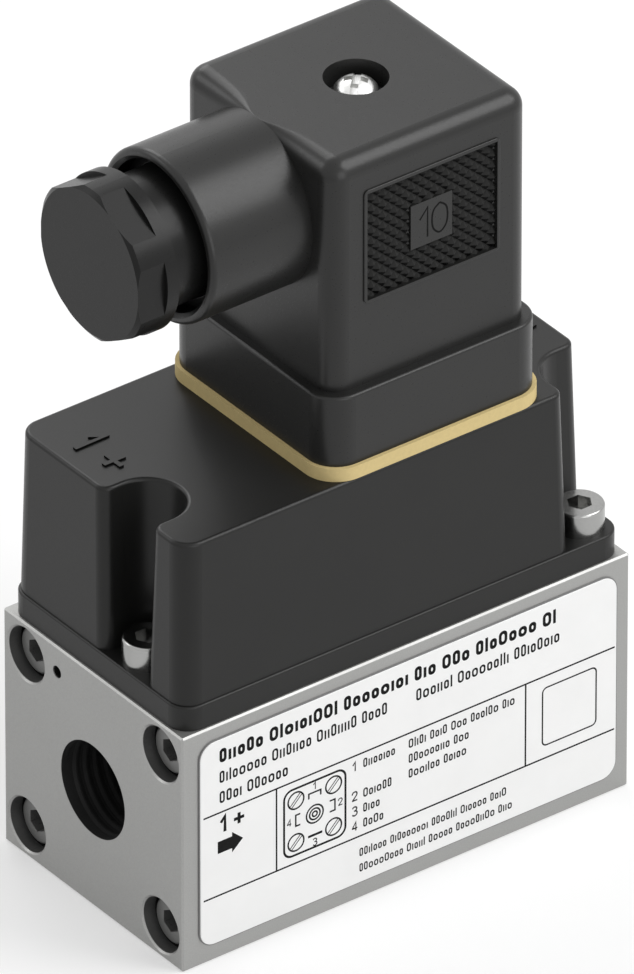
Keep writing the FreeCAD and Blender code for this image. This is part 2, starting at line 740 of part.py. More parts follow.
def circuit_board():
    board = rounded_block(0, 0, BOARD_LENGTH, BOARD_DEPTH, BOARD_CORNER, BOARD_BOTTOM, BOARD_TOP)
    holes = []
    for x, y in SPACER_PLACES:
        holes.append(rod(BOARD_SCREW_RADIUS + SHANK_CLEARANCE, (x, y, BOARD_BOTTOM), (x, y, BOARD_TOP)))
    return board.cut(fuse_all(holes))


def board_spacers():
    spacers = []
    for x, y in SPACER_PLACES:
        pillar = hexagon_prism(SPACER_FLATS, (x, y, BLOCK_HEIGHT), (0, 0, 1), SPACER_HEIGHT)
        stud = rod(STUD_RADIUS, (x, y, BLOCK_HEIGHT - STUD_LENGTH), (x, y, BLOCK_HEIGHT))
        depth = BOARD_SCREW_LENGTH - BOARD_THICKNESS + BLIND_HOLE_SPARE
        hole = rod(BOARD_SCREW_RADIUS + THREAD_CLEARANCE, (x, y, BOARD_BOTTOM - depth), (x, y, BOARD_BOTTOM))
        spacers.append(pillar.fuse(stud).cut(hole))
    return Part.makeCompound(spacers)


def slotted_screw(x, y, seat, head_radius, head_height, shank_radius, length, slot, turn):
    """Cheese-head screw pointing down, with its head standing on the seat."""
    head = rod(head_radius, (x, y, seat), (x, y, seat + head_height))
    shank = rod(shank_radius, (x, y, seat - length), (x, y, seat))
    groove = centred_box(x, y, 3 * head_radius, slot, seat + head_height / 2, seat + head_height)
    groove.rotate(Vector(x, y, 0), UP, turn)
    return head.fuse(shank).cut(groove)


def board_screws():
    screws = []
    for x, y in SPACER_PLACES:
        screws.append(
            slotted_screw(
                x,
                y,
                BOARD_TOP,
                BOARD_SCREW_HEAD_RADIUS,
                BOARD_SCREW_HEAD_HEIGHT,
                BOARD_SCREW_RADIUS,
                BOARD_SCREW_LENGTH,
                TERMINAL_SLOT / 2,
                30,
            )
        )
    return Part.makeCompound(screws)


def processor_chip():
    body = centred_box(CHIP_X, CHIP_Y, CHIP_SIDE, CHIP_SIDE, BOARD_TOP, BOARD_TOP + CHIP_HEIGHT)
    leads = []
    count = int((CHIP_SIDE - LEAD_PITCH) / LEAD_PITCH) + 1
    reach = CHIP_SIDE + 2 * LEAD_REACH
    for index in range(count):
        shift = (index - (count - 1) / 2) * LEAD_PITCH
        top = BOARD_TOP + LEAD_HEIGHT
        leads.append(centred_box(CHIP_X, CHIP_Y + shift, reach, LEAD_WIDTH, BOARD_TOP, top))
        leads.append(centred_box(CHIP_X + shift, CHIP_Y, LEAD_WIDTH, reach, BOARD_TOP, top))
    return body.fuse(leads)


def voltage_regulator():
    top = BOARD_TOP + REGULATOR_HEIGHT
    body = centred_box(REGULATOR_X, REGULATOR_Y, REGULATOR_LENGTH, REGULATOR_WIDTH, BOARD_TOP, top)
    leads = []
    top = BOARD_TOP + LEAD_HEIGHT
    for index in (-1, 0, 1):
        x = REGULATOR_X + index * REGULATOR_LENGTH / 3
        leads.append(
            centred_box(x, REGULATOR_Y, 2 * LEAD_WIDTH, REGULATOR_WIDTH + 2 * LEAD_REACH, BOARD_TOP, top)
        )
    return body.fuse(leads)


def capacitors():
    cans = []
    for side in (-1, 1):
        x, y = CAPACITOR_X, side * CAPACITOR_SPACING / 2
        foot_top = BOARD_TOP + CAPACITOR_FOOT
        foot = centred_box(x, y, 2 * CAPACITOR_RADIUS, 2 * CAPACITOR_RADIUS, BOARD_TOP, foot_top)
        can = rod(CAPACITOR_RADIUS, (x, y, foot_top), (x, y, BOARD_TOP + CAPACITOR_HEIGHT))
        rim = edges_at_height(can, BOARD_TOP + CAPACITOR_HEIGHT)
        cans.append(foot.fuse(can.makeFillet(CAPACITOR_FOOT / 2, rim)))
    return Part.makeCompound(cans)


def blade_outline(dx, dy, width, thickness, z0, z1):
    """Upright flat block at one contact place, broad side towards the connector's centre."""
    half = BLADE_SPACING / 2
    length, depth = (thickness, width) if dx else (width, thickness)
    return centred_box(CONNECTOR_X + dx * half, dy * half, length, depth, z0, z1)


def plug_base():
    flange = rounded_block(
        CONNECTOR_X, 0, BASE_SIDE, BASE_SIDE, BASE_CORNER, HOUSING_TOP - BASE_FLANGE, HOUSING_TOP
    )
    body = base_body_outline(0, BASE_BOTTOM, HOUSING_TOP - BASE_FLANGE)
    boss = rod(BASE_BOSS_RADIUS, (CONNECTOR_X, 0, HOUSING_TOP), (CONNECTOR_X, 0, BOSS_TOP))
    cuts = [insert_outline()]
    for dx, dy in SIDES:
        cuts.append(blade_outline(dx, dy, BLADE_WIDTH, BLADE_THICKNESS, BASE_BOTTOM, HOUSING_TOP))
    for x, y in base_screw_places():
        cuts.append(
            rod(
                BASE_SCREW_RADIUS + SHANK_CLEARANCE / 2,
                (x, y, HOUSING_TOP - BASE_FLANGE),
                (x, y, HOUSING_TOP),
            )
        )
    return fuse_all([flange, body, boss]).cut(fuse_all(cuts))


def base_screws():
    screws = []
    for index, (x, y) in enumerate(base_screw_places()):
        screws.append(
            slotted_screw(
                x,
                y,
                HOUSING_TOP,
                BASE_SCREW_HEAD_RADIUS,
                BASE_SCREW_HEAD_HEIGHT,
                BASE_SCREW_RADIUS,
                BASE_SCREW_LENGTH,
                BASE_SCREW_SLOT,
                45 + 20 * index,
            )
        )
    return Part.makeCompound(screws)


def contact_blade(dx, dy, extra):
    blade = blade_outline(
        dx, dy, BLADE_WIDTH, BLADE_THICKNESS, BLADE_BOTTOM, BLADE_TOP + extra
    )
    return blade.makeChamfer(BLADE_TIP, edges_at_height(blade, BLADE_TOP + extra))


def plug_pins():
    return Part.makeCompound([contact_blade(dx, dy, 0) for dx, dy in SIDES[:3]])


def earth_pin():
    return contact_blade(*SIDES[3], EARTH_BLADE_EXTRA)


def pin_wires():
    """Four stiff wires that join the blades' tails to the board."""
    half = BLADE_SPACING / 2
    wires = []
    for dx, dy in SIDES:
        x, y = CONNECTOR_X + dx * half, dy * half
        wires.append(rod(WIRE_RADIUS, (x, y, BOARD_TOP), (x, y, BLADE_BOTTOM)))
    return Part.makeCompound(wires)


def insert_outline():
    return revolve_about_z(
        [
            (0, BOSS_TOP - INSERT_DEPTH),
            (INSERT_RADIUS, BOSS_TOP - INSERT_DEPTH),
            (INSERT_RADIUS, BOSS_TOP - INSERT_COLLAR_HEIGHT),
            (INSERT_COLLAR_RADIUS, BOSS_TOP - INSERT_COLLAR_HEIGHT),
            (INSERT_COLLAR_RADIUS, BOSS_TOP),
            (0, BOSS_TOP),
        ],
        CONNECTOR_X,
    )


def threaded_insert():
    hole = rod(
        RETAINER_RADIUS + RETAINER_CLEARANCE,
        (CONNECTOR_X, 0, RETAINER_TIP - BLIND_HOLE_SPARE),
        (CONNECTOR_X, 0, BOSS_TOP),
    )
    return insert_outline().cut(hole)


def flat_gasket():
    pad = rounded_block(
        CONNECTOR_X, 0, GASKET_SIDE, GASKET_SIDE, GASKET_CORNER, HOUSING_TOP, GASKET_TOP
    )
    opening = rounded_block(
        CONNECTOR_X, 0, GASKET_OPENING, GASKET_OPENING, GASKET_OPENING_CORNER, HOUSING_TOP, GASKET_TOP
    )
    return pad.cut(opening)


def saddle():
    """Where the barrel meets the roof, the rounded edge fades out towards the middle."""
    stations = [
        (-1, COVER_EDGE),
        (-SADDLE_MID_SHARE, 0.6 * COVER_EDGE),
        (0, SADDLE_TOP_RADIUS),
        (SADDLE_MID_SHARE, 0.6 * COVER_EDGE),
        (1, COVER_EDGE),
    ]
    inner_x = COVER_LEFT + COVER_EDGE + 0.3
    low = COVER_TOP - COVER_EDGE - 0.3
    sections = []
    for share, radius in stations:
        y = share * SADDLE_HALF_WIDTH
        slant = radius * (1 - math.sqrt(0.5))

        def at(x, z):
            return Vector(x, y, z)

        edges = [
            Part.LineSegment(at(inner_x, low), at(COVER_LEFT, low)).toShape(),
            Part.LineSegment(at(COVER_LEFT, low), at(COVER_LEFT, COVER_TOP - radius)).toShape(),
            Part.Arc(
                at(COVER_LEFT, COVER_TOP - radius),
                at(COVER_LEFT + slant, COVER_TOP - slant),
                at(COVER_LEFT + radius, COVER_TOP),
            ).toShape(),
            Part.LineSegment(at(COVER_LEFT + radius, COVER_TOP), at(inner_x, COVER_TOP)).toShape(),
            Part.LineSegment(at(inner_x, COVER_TOP), at(inner_x, low)).toShape(),
        ]
        sections.append(Part.Wire(edges))
    return Part.makeLoft(sections, True, False)


def grip_teeth(face_y, outward):
    """Pointed teeth left by two crossing sets of V grooves, clipped to the panel."""
    floor = face_y - outward * GRIP_DEPTH
    mid_z = COVER_TOP - GRIP_BELOW_TOP
    half_l, half_h = GRIP_LENGTH / 2, GRIP_HEIGHT / 2
    tip = floor + outward * TOOTH_HEIGHT
    pad = box(
        CONNECTOR_X - half_l,
        CONNECTOR_X + half_l,
        *sorted((floor, tip)),
        mid_z - half_h,
        mid_z + half_h,
    )
    run = math.hypot(GRIP_PITCH_X, GRIP_PITCH_Z)
    spacing = GRIP_PITCH_X * GRIP_PITCH_Z / run
    reach = half_l + half_h
    grooves = []
    for slope in (-1, 1):
        along = Vector(GRIP_PITCH_X / run, 0, slope * GRIP_PITCH_Z / run)
        across = Vector(-slope * GRIP_PITCH_Z / run, 0, GRIP_PITCH_X / run)
        count = int(reach / spacing) + 1
        for index in range(-count, count + 1):
            middle = Vector(CONNECTOR_X, 0, mid_z) + across * ((index + 0.5) * spacing)
            start = middle - along * (2 * reach)
            wedge = Part.makePolygon(
                [
                    start + Vector(0, floor, 0),
                    start + across * (spacing / 2) + Vector(0, tip, 0),
                    start - across * (spacing / 2) + Vector(0, tip, 0),
                    start + Vector(0, floor, 0),
                ]
            )
            grooves.append(Part.Face(wedge).extrude(along * (4 * reach)))
    return pad.cut(grooves)


def grip_panel(shape, outward):
    """Sink a toothed panel with a raised frame and a bare square field into one broad face."""
    face_y = outward * COVER_SIDE / 2
    mid_z = COVER_TOP - GRIP_BELOW_TOP
    half_l, half_h = GRIP_LENGTH / 2, GRIP_HEIGHT / 2
    proud = face_y + outward * GRIP_RAISE
    floor = face_y - outward * GRIP_DEPTH
    frame = rounded_block(
        CONNECTOR_X,
        0,
        GRIP_LENGTH + 2 * GRIP_FRAME,
        GRIP_HEIGHT + 2 * GRIP_FRAME,
        GRIP_FRAME_CORNER,
        0,
        GRIP_RAISE,
    )
    frame = frame.makeFillet(GRIP_RIM_ROUND, edges_at_height(frame, GRIP_RAISE))
    frame.rotate(Vector(0, 0, 0), LENGTHWISE, -90 * outward)
    frame.translate(Vector(0, face_y, mid_z))
    well = box(
        CONNECTOR_X - half_l,
        CONNECTOR_X + half_l,
        *sorted((floor, proud)),
        mid_z - half_h,
        mid_z + half_h,
    )
    badge_top = floor + outward * BADGE_HEIGHT
    half_b = BADGE_SIDE / 2
    clear = box(
        CONNECTOR_X - half_b,
        CONNECTOR_X + half_b,
        *sorted((floor, proud)),
        mid_z - half_b,
        mid_z + half_b,
    )
    badge = box(
        CONNECTOR_X - half_b,
        CONNECTOR_X + half_b,
        *sorted((floor, badge_top)),
        mid_z - half_b,
        mid_z + half_b,
    )
    teeth = grip_teeth(face_y, outward).cut(clear)
    return shape.fuse(frame).cut(well).fuse(teeth).fuse(badge)


def connector_cover():
    skirt = rounded_block(CONNECTOR_X, 0, SKIRT_SIDE, SKIRT_SIDE, SKIRT_CORNER, GASKET_TOP, SKIRT_TOP)
    skirt = skirt.makeFillet(SKIRT_EDGE, edges_at_height(skirt, SKIRT_TOP))
    body = rounded_block(CONNECTOR_X, 0, COVER_SIDE, COVER_SIDE, COVER_CORNER, SKIRT_TOP - 1, COVER_TOP)
    body = body.makeFillet(COVER_EDGE, edges_at_height(body, COVER_TOP))
    barrel = rod(BARREL_RADIUS, (BARREL_END, 0, BARREL_Z), (COVER_LEFT + COVER_WALL, 0, BARREL_Z))
    rim = [edge for edge in barrel.Edges if abs(edge.BoundBox.XMax - BARREL_END) < 1e-4]
    barrel = barrel.makeFillet(BARREL_RIM, rim)
    shell = fuse_all([skirt, body, saddle(), barrel])

    inner = COVER_SIDE - 2 * COVER_WALL
    corner = COVER_CORNER - COVER_WALL
    space = rounded_block(CONNECTOR_X, 0, inner, inner, corner, GASKET_TOP, COVER_TOP - COVER_ROOF)
    mouth = rounded_block(
        CONNECTOR_X,
        0,
        SKIRT_OPENING,
        SKIRT_OPENING,
        SKIRT_CORNER - (SKIRT_SIDE - SKIRT_OPENING) / 2,
        GASKET_TOP,
        SKIRT_TOP - COVER_WALL,
    )
    shell = shell.cut(fuse_all([space, mouth]))
    tower = rod(SCREW_TOWER_RADIUS, (CONNECTOR_X, 0, TOWER_BOTTOM), (CONNECTOR_X, 0, COVER_TOP - 1))
    shell = shell.fuse(tower)

    gland_bore = revolve_about_x(
        [
            (BARREL_END, 0),
            (BARREL_END, BARREL_MOUTH_RADIUS + BARREL_MOUTH_LIP),
            (BARREL_END + BARREL_MOUTH_LIP, BARREL_MOUTH_RADIUS),
            (BARREL_END + BARREL_MOUTH_DEPTH, BARREL_MOUTH_RADIUS),
            (BARREL_END + BARREL_MOUTH_DEPTH, GLAND_THREAD_RADIUS + GLAND_CLEARANCE),
            (SEAT_X, GLAND_THREAD_RADIUS + GLAND_CLEARANCE),
            (SEAT_X, BARREL_SEAT_RADIUS),
            (COVER_LEFT + COVER_WALL, BARREL_SEAT_RADIUS),
            (COVER_LEFT + COVER_WALL, 0),
        ],
        BARREL_Z,
    )
    well = rod(SCREW_WELL_RADIUS, (CONNECTOR_X, 0, WELL_FLOOR), (CONNECTOR_X, 0, COVER_TOP))
    shank_hole = rod(
        RETAINER_RADIUS + SHANK_CLEARANCE, (CONNECTOR_X, 0, TOWER_BOTTOM), (CONNECTOR_X, 0, COVER_TOP)
    )
    shell = shell.cut(fuse_all([gland_bore, well.fuse(shank_hole)]))
    for outward in (-1, 1):
        shell = grip_panel(shell, outward)
    return shell


def clip_space(dx, dy, grow):
    """Room for one spring clip inside the carrier."""
    return blade_outline(
        dx,
        dy,
        CLIP_WIDTH + 2 * grow,
        BLADE_THICKNESS + 2 * BLADE_CLEARANCE + 2 * CLIP_WALL + 2 * grow,
        CARRIER_BOTTOM,
        CARRIER_BOTTOM + CLIP_HEIGHT,
    )


def contact_carrier():
    side = COVER_SIDE - 2 * COVER_WALL - 2 * CARRIER_FIT
    block = rounded_block(CONNECTOR_X, 0, side, side, CARRIER_FIT * 2, CARRIER_BOTTOM, CARRIER_TOP)
    column = rod(CARRIER_COLUMN_RADIUS, (CONNECTOR_X, 0, CARRIER_TOP), (CONNECTOR_X, 0, TOWER_BOTTOM))
    cuts = [
        rod(
            RETAINER_RADIUS + SHANK_CLEARANCE,
            (CONNECTOR_X, 0, CARRIER_BOTTOM),
            (CONNECTOR_X, 0, TOWER_BOTTOM),
        ),
        rod(
            BASE_BOSS_RADIUS + BOSS_CLEARANCE,
            (CONNECTOR_X, 0, CARRIER_BOTTOM),
            (CONNECTOR_X, 0, BOSS_TOP + BOSS_CLEARANCE),
        ),
    ]
    for dx, dy in SIDES:
        cuts.append(clip_space(dx, dy, 0))
        x, y = CONNECTOR_X + dx * BLADE_SPACING / 2, dy * BLADE_SPACING / 2
        shaft = TERMINAL_SCREW_RADIUS + THREAD_CLEARANCE
        cuts.append(rod(shaft, (x, y, CARRIER_BOTTOM), (x, y, CARRIER_TOP)))
    return block.fuse(column).cut(fuse_all(cuts))


def spring_clip(dx, dy):
    """Folded contact, open below, that straddles one blade."""
    outer = clip_space(dx, dy, 0)
    gap = blade_outline(
        dx,
        dy,
        CLIP_WIDTH,
        BLADE_THICKNESS + 2 * BLADE_CLEARANCE,
        CARRIER_BOTTOM,
        CARRIER_BOTTOM + CLIP_HEIGHT - CLIP_ROOF,
    )
    x, y = CONNECTOR_X + dx * BLADE_SPACING / 2, dy * BLADE_SPACING / 2
    top = CARRIER_BOTTOM + CLIP_HEIGHT
    hole = rod(TERMINAL_SCREW_RADIUS + THREAD_CLEARANCE, (x, y, top - CLIP_ROOF), (x, y, top))
    return outer.cut(gap.fuse(hole))


def contact_clips():
    return Part.makeCompound([spring_clip(dx, dy) for dx, dy in SIDES[:3]])


def earth_clip():
    return spring_clip(*SIDES[3])


def terminal_screws():
    screws = []
    length = CARRIER_TOP - (CARRIER_BOTTOM + CLIP_HEIGHT - CLIP_ROOF)
    for index, (dx, dy) in enumerate(SIDES):
        screws.append(
            slotted_screw(
                CONNECTOR_X + dx * BLADE_SPACING / 2,
                dy * BLADE_SPACING / 2,
                CARRIER_TOP,
                TERMINAL_HEAD_RADIUS,
                TERMINAL_HEAD_HEIGHT,
                TERMINAL_SCREW_RADIUS,
                length,
                TERMINAL_SLOT,
                25 * index,
            )
        )
    return Part.makeCompound(screws)


def gland_seal():
    outer = GLAND_THREAD_RADIUS - GLAND_CLEARANCE
    ring = rod(outer, (SEAT_X - SEAL_LENGTH, 0, BARREL_Z), (SEAT_X, 0, BARREL_Z))
    return ring.cut(rod(SEAL_HOLE_RADIUS, (SEAT_X - SEAL_LENGTH, 0, BARREL_Z), (SEAT_X, 0, BARREL_Z)))


def gland_washer():
    start = SEAT_X - SEAL_LENGTH - WASHER_THICKNESS
    outer = GLAND_THREAD_RADIUS - GLAND_CLEARANCE
    ring = rod(outer, (start, 0, BARREL_Z), (start + WASHER_THICKNESS, 0, BARREL_Z))
    return ring.cut(rod(WASHER_HOLE_RADIUS, (start, 0, BARREL_Z), (start + WASHER_THICKNESS, 0, BARREL_Z)))


def gland_cap():
    """Blind cap: threaded neck, round collar and six flats, hollow behind a closed end."""
    neck_tip = SEAT_X - SEAL_LENGTH - WASHER_THICKNESS - GLAND_SLACK
    collar_in = BARREL_END - GLAND_NECK_OUT
    collar_out = collar_in - GLAND_COLLAR
    end = collar_out - GLAND_HEX_LENGTH
    body = revolve_about_x(
        [
            (neck_tip, 0),
            (neck_tip, GLAND_THREAD_RADIUS),
            (collar_in, GLAND_THREAD_RADIUS),
            (collar_in, GLAND_ROUND_RADIUS),
            (end + GLAND_CHAMFER_RISE, GLAND_ROUND_RADIUS),
            (end, GLAND_ROUND_RADIUS - GLAND_CHAMFER),
            (end, 0),
        ],
        BARREL_Z,
    )
    around = rod(
        GLAND_ROUND_RADIUS + 1, (end - 1, 0, BARREL_Z), (collar_out, 0, BARREL_Z)
    )
    bar = hexagon_prism(
        GLAND_FLATS, (end - 1, 0, BARREL_Z), (1, 0, 0), GLAND_HEX_LENGTH + 1
    )
    body = body.cut(around.cut(bar))
    hollow = rod(GLAND_HOLLOW_RADIUS, (end + GLAND_END_WALL, 0, BARREL_Z), (neck_tip, 0, BARREL_Z))
    return body.cut(hollow)


def retaining_screw():
    """Captive screw with a domed head, a full slot and a short cross slot."""
    top = RETAINER_SEAT + RETAINER_HEAD_HEIGHT
    shoulder = top - RETAINER_DOME
    ball = (RETAINER_HEAD_RADIUS**2 + RETAINER_DOME**2) / (2 * RETAINER_DOME)
    head = rod(RETAINER_HEAD_RADIUS, (CONNECTOR_X, 0, RETAINER_SEAT), (CONNECTOR_X, 0, top))
    head = head.common(Part.makeSphere(ball, Vector(CONNECTOR_X, 0, top - ball)).fuse(
        rod(RETAINER_HEAD_RADIUS, (CONNECTOR_X, 0, RETAINER_SEAT), (CONNECTOR_X, 0, shoulder))
    ))
    shank = rod(RETAINER_RADIUS, (CONNECTOR_X, 0, RETAINER_TIP), (CONNECTOR_X, 0, RETAINER_SEAT))
    slot = centred_box(
        CONNECTOR_X, 0, 3 * RETAINER_HEAD_RADIUS, RETAINER_SLOT, top - RETAINER_SLOT_DEPTH, top
    )
    cross = centred_box(
        CONNECTOR_X, 0, RETAINER_SLOT, 2 * RETAINER_CROSS_REACH, top - RETAINER_CROSS_DEPTH, top
    )
    recess = slot.fuse(cross)
    recess.rotate(Vector(CONNECTOR_X, 0, 0), UP, RETAINER_TURN)
    return head.fuse(shank).cut(recess)


def well_seal():
    outer = SCREW_WELL_RADIUS - WELL_SEAL_FIT
    ring = rod(outer, (CONNECTOR_X, 0, WELL_FLOOR), (CONNECTOR_X, 0, RETAINER_SEAT))
    hole = rod(
        RETAINER_RADIUS + SHANK_CLEARANCE, (CONNECTOR_X, 0, WELL_FLOOR), (CONNECTOR_X, 0, RETAINER_SEAT)
    )
    return ring.cut(hole)


PIECES = [
    ("p1_block", p1_block),
    ("p2_block", p2_block),
    ("block_screws", block_screws),
    ("sensing_cell", sensing_cell),
    ("cell_seals", cell_seals),
    ("cell_flex", cell_flex),
    ("flex_socket", flex_socket),
    ("rating_label", rating_label),
    ("housing", housing),
    ("housing_screws", housing_screws),
    ("housing_seal", housing_seal),
    ("circuit_board", circuit_board),
    ("board_spacers", board_spacers),
    ("board_screws", board_screws),
    ("processor_chip", processor_chip),
    ("voltage_regulator", voltage_regulator),
    ("capacitors", capacitors),
    ("plug_base", plug_base),
    ("base_screws", base_screws),
    ("plug_pins", plug_pins),
    ("earth_pin", earth_pin),
    ("pin_wires", pin_wires),
    ("threaded_insert", threaded_insert),
    ("flat_gasket", flat_gasket),
    ("connector_cover", connector_cover),
    ("contact_carrier", contact_carrier),
    ("contact_clips", contact_clips),
    ("earth_clip", earth_clip),
    ("terminal_screws", terminal_screws),
    ("gland_seal", gland_seal),
    ("gland_washer", gland_washer),
    ("well_seal", well_seal),
    ("gland_cap", gland_cap),
    ("retaining_screw", retaining_screw),
]


def main():
    os.makedirs("parts", exist_ok=True)
    for name, make in PIECES:
        make().exportStep("parts/" + name + ".step")


main()
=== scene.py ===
"""Looks of a differential pressure transmitter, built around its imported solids.

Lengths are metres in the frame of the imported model. The origin is the centre of the metal
block's underside, +X runs from the first port to the second, -Y is the label side, +Z is up.
Sizes that are written in millimetres are multiplied by MM.
"""

import logging
import math
import random
from dataclasses import dataclass
from enum import Enum
from typing import Any, Sequence

import bmesh
import bpy
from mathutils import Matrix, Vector

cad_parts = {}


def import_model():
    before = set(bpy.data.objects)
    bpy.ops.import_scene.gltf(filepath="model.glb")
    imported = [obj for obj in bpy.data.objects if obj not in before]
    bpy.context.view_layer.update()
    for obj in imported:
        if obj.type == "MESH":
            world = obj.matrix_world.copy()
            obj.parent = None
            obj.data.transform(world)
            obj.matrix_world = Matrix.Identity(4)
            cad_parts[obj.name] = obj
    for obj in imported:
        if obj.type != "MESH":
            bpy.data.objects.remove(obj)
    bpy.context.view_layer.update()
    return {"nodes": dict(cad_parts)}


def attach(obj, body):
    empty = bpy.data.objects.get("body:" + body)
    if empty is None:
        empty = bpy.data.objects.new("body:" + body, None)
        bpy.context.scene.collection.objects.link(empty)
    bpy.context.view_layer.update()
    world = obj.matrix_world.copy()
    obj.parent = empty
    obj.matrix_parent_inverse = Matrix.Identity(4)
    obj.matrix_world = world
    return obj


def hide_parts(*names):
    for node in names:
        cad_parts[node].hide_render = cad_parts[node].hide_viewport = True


MM = 0.001
LOG = logging.getLogger("transmitter")

# Each further stroke of a sign lies this much higher, in millimetres, so that none coincide.
CROSSING_LIFT = 0.002
# A line of a sign with more points than this is a curve.
STRAIGHT_POINTS = 4
# Least cosine at a stroke's bend, which limits how far its corner reaches out.
MITRE_LIMIT = 0.5

Point2 = tuple[float, float]
Way = tuple[float, float, float]
Colour = tuple[float, float, float]

RIGHTWARD: Way = (1.0, 0.0, 0.0)
LEFTWARD: Way = (-1.0, 0.0, 0.0)
FORWARD: Way = (0.0, -1.0, 0.0)
BACKWARD: Way = (0.0, 1.0, 0.0)
UPWARD: Way = (0.0, 0.0, 1.0)

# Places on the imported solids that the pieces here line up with, in millimetres.
BLOCK_HALF_LENGTH = 30.0
BLOCK_MIDDLE_Z = 15.0
BARREL_Z = 82.0
PANEL_X = 5.2
PANEL_Z = 80.7

# Both broad faces of the connector: name, reading direction and the sign of X along it.
BROAD_FACES = (("front", RIGHTWARD, 1), ("back", LEFTWARD, -1))


class Body(Enum):
    """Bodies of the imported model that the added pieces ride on."""

    TRANSMITTER = "transmitter"
    CONNECTOR = "connector"


class Graph:
    """A material's node tree, with short calls that add and join its nodes."""

    def __init__(self, name: str) -> None:
        """Start a material with one principled shader.

        Args:
            name: Name of the new material.
        """
        self.material = bpy.data.materials.new(name)
        self.material.use_nodes = True
        self.tree = self.material.node_tree
        self.tree.nodes.clear()
        self.output = self.add("ShaderNodeOutputMaterial")
        self.shader = self.add("ShaderNodeBsdfPrincipled")
        self.join(self.shader.outputs["BSDF"], self.output.inputs["Surface"])
        self.place = self.add("ShaderNodeTexCoord").outputs["Object"]

    def add(self, kind: str, **settings: Any) -> bpy.types.Node:
        """Add a node and set its own properties.

        Args:
            kind: Blender's name of the node type.
            **settings: Node properties to set.

        Returns:
            The new node.
        """
        node = self.tree.nodes.new(kind)
        for key, value in settings.items():
            setattr(node, key, value)
        return node

    def join(self, source: bpy.types.NodeSocket, target: bpy.types.NodeSocket) -> None:
        """Link one socket to another."""
        self.tree.links.new(source, target)

    def set(self, **values: Any) -> None:
        """Set constant inputs of the shader; underscores in a name stand for spaces."""
        for key, value in values.items():
            self.shader.inputs[key.replace("_", " ")].default_value = value

    def stretched(self, scale: Sequence[float]) -> bpy.types.NodeSocket:
        """Give the object's coordinates with each axis scaled on its own.

        Args:
            scale: Factor of each axis.

        Returns:
            The scaled coordinates.
        """
        mapping = self.add("ShaderNodeMapping")
        mapping.inputs["Scale"].default_value = scale
        self.join(self.place, mapping.inputs["Vector"])
        return mapping.outputs["Vector"]

    def noise(
        self,
        grain: float,
        detail: float = 3.0,
        rough: float = 0.5,
        vector: bpy.types.NodeSocket | None = None,
    ) -> bpy.types.NodeSocket:
        """Add a noise pattern.

        Args:
            grain: Size of one grain in metres.
            detail: Octaves of finer detail.
            rough: Weight of the finer octaves.
            vector: Coordinates to use in place of the object's own.

        Returns:
            The factor output of the noise.
        """
        node = self.add("ShaderNodeTexNoise")
        node.inputs["Scale"].default_value = 1.0 / grain
        node.inputs["Detail"].default_value = detail
        node.inputs["Roughness"].default_value = rough
        self.join(vector or self.place, node.inputs["Vector"])
        return node.outputs["Fac"]

    def spread(
        self,
        source: bpy.types.NodeSocket,
        low: float,
        high: float,
        start: float = 0.3,
        end: float = 0.7,
    ) -> bpy.types.NodeSocket:
        """Map a part of a pattern's range onto another range.

        Args:
            source: The pattern.
            low: Result at the start of the part.
            high: Result at its end.
            start: Where the part starts.
            end: Where it ends.

        Returns:
            The mapped pattern.
        """
        node = self.add("ShaderNodeMapRange")
        limits = {"From Min": start, "From Max": end, "To Min": low, "To Max": high}
        for key, value in limits.items():
            node.inputs[key].default_value = value
        self.join(source, node.inputs["Value"])
        return node.outputs["Result"]

    def tints(
        self, source: bpy.types.NodeSocket, stops: Sequence[tuple[float, Colour]]
    ) -> None:
        """Colour the surface by a ramp over a pattern.

        Args:
            source: The pattern.
            stops: Pairs of position and colour, in rising order.
        """
        node = self.add("ShaderNodeValToRGB")
        ramp = node.color_ramp
        while len(ramp.elements) < len(stops):
            ramp.elements.new(0.5)
        for element, (position, colour) in zip(ramp.elements, stops):
            element.position = position
            element.color = (*colour, 1.0)
        self.join(source, node.inputs["Fac"])
        self.join(node.outputs["Color"], self.shader.inputs["Base Color"])

    def roughen(
        self, source: bpy.types.NodeSocket, roughness: float, below: float, above: float
    ) -> None:
        """Let the roughness follow a pattern.

        Args:
            source: The pattern.
            roughness: The surface's plain roughness.
            below: How far it falls where the pattern is low.
            above: How far it rises where the pattern is high.
        """
        rough = self.spread(source, roughness - below, roughness + above)
        self.join(rough, self.shader.inputs["Roughness"])

    def relief(self, source: bpy.types.NodeSocket, height: float) -> None:
        """Raise the surface by a pattern.

        Args:
            source: The pattern.
            height: Height of the relief in metres.
        """
        bump = self.add("ShaderNodeBump")
        bump.inputs["Strength"].default_value = 1.0
        bump.inputs["Distance"].default_value = height
        self.join(source, bump.inputs["Height"])
        self.join(bump.outputs["Normal"], self.shader.inputs["Normal"])


def shade(colour: Colour, factor: float) -> Colour:
    """Make a colour darker or lighter by a factor."""
    return (colour[0] * factor, colour[1] * factor, colour[2] * factor)


@dataclass(frozen=True)
class Moulding:
    """Moulded plastic with the fine spark-eroded grain of its tool."""

    slot: str
    colour: Colour
    roughness: float = 0.5
    specular: float = 0.4
    grain: float = 0.22 * MM
    height: float = 0.004 * MM
    cloud: float = 9.0 * MM
    mottle: float = 0.06
    swing: float = 0.05

    def build(self) -> bpy.types.Material:
        """Make the material.

        Returns:
            The new material.
        """
        graph = Graph(self.slot)
        dark, light = shade(self.colour, 1 - self.mottle), shade(self.colour, 1 + self.mottle)
        graph.tints(graph.noise(self.cloud, 4.0), ((0.3, dark), (0.7, light)))
        fine = graph.noise(self.grain, 2.0, 0.6)
        graph.roughen(fine, self.roughness, self.swing, self.swing)
        graph.relief(fine, self.height)
        graph.set(Specular_IOR_Level=self.specular)
        return graph.material


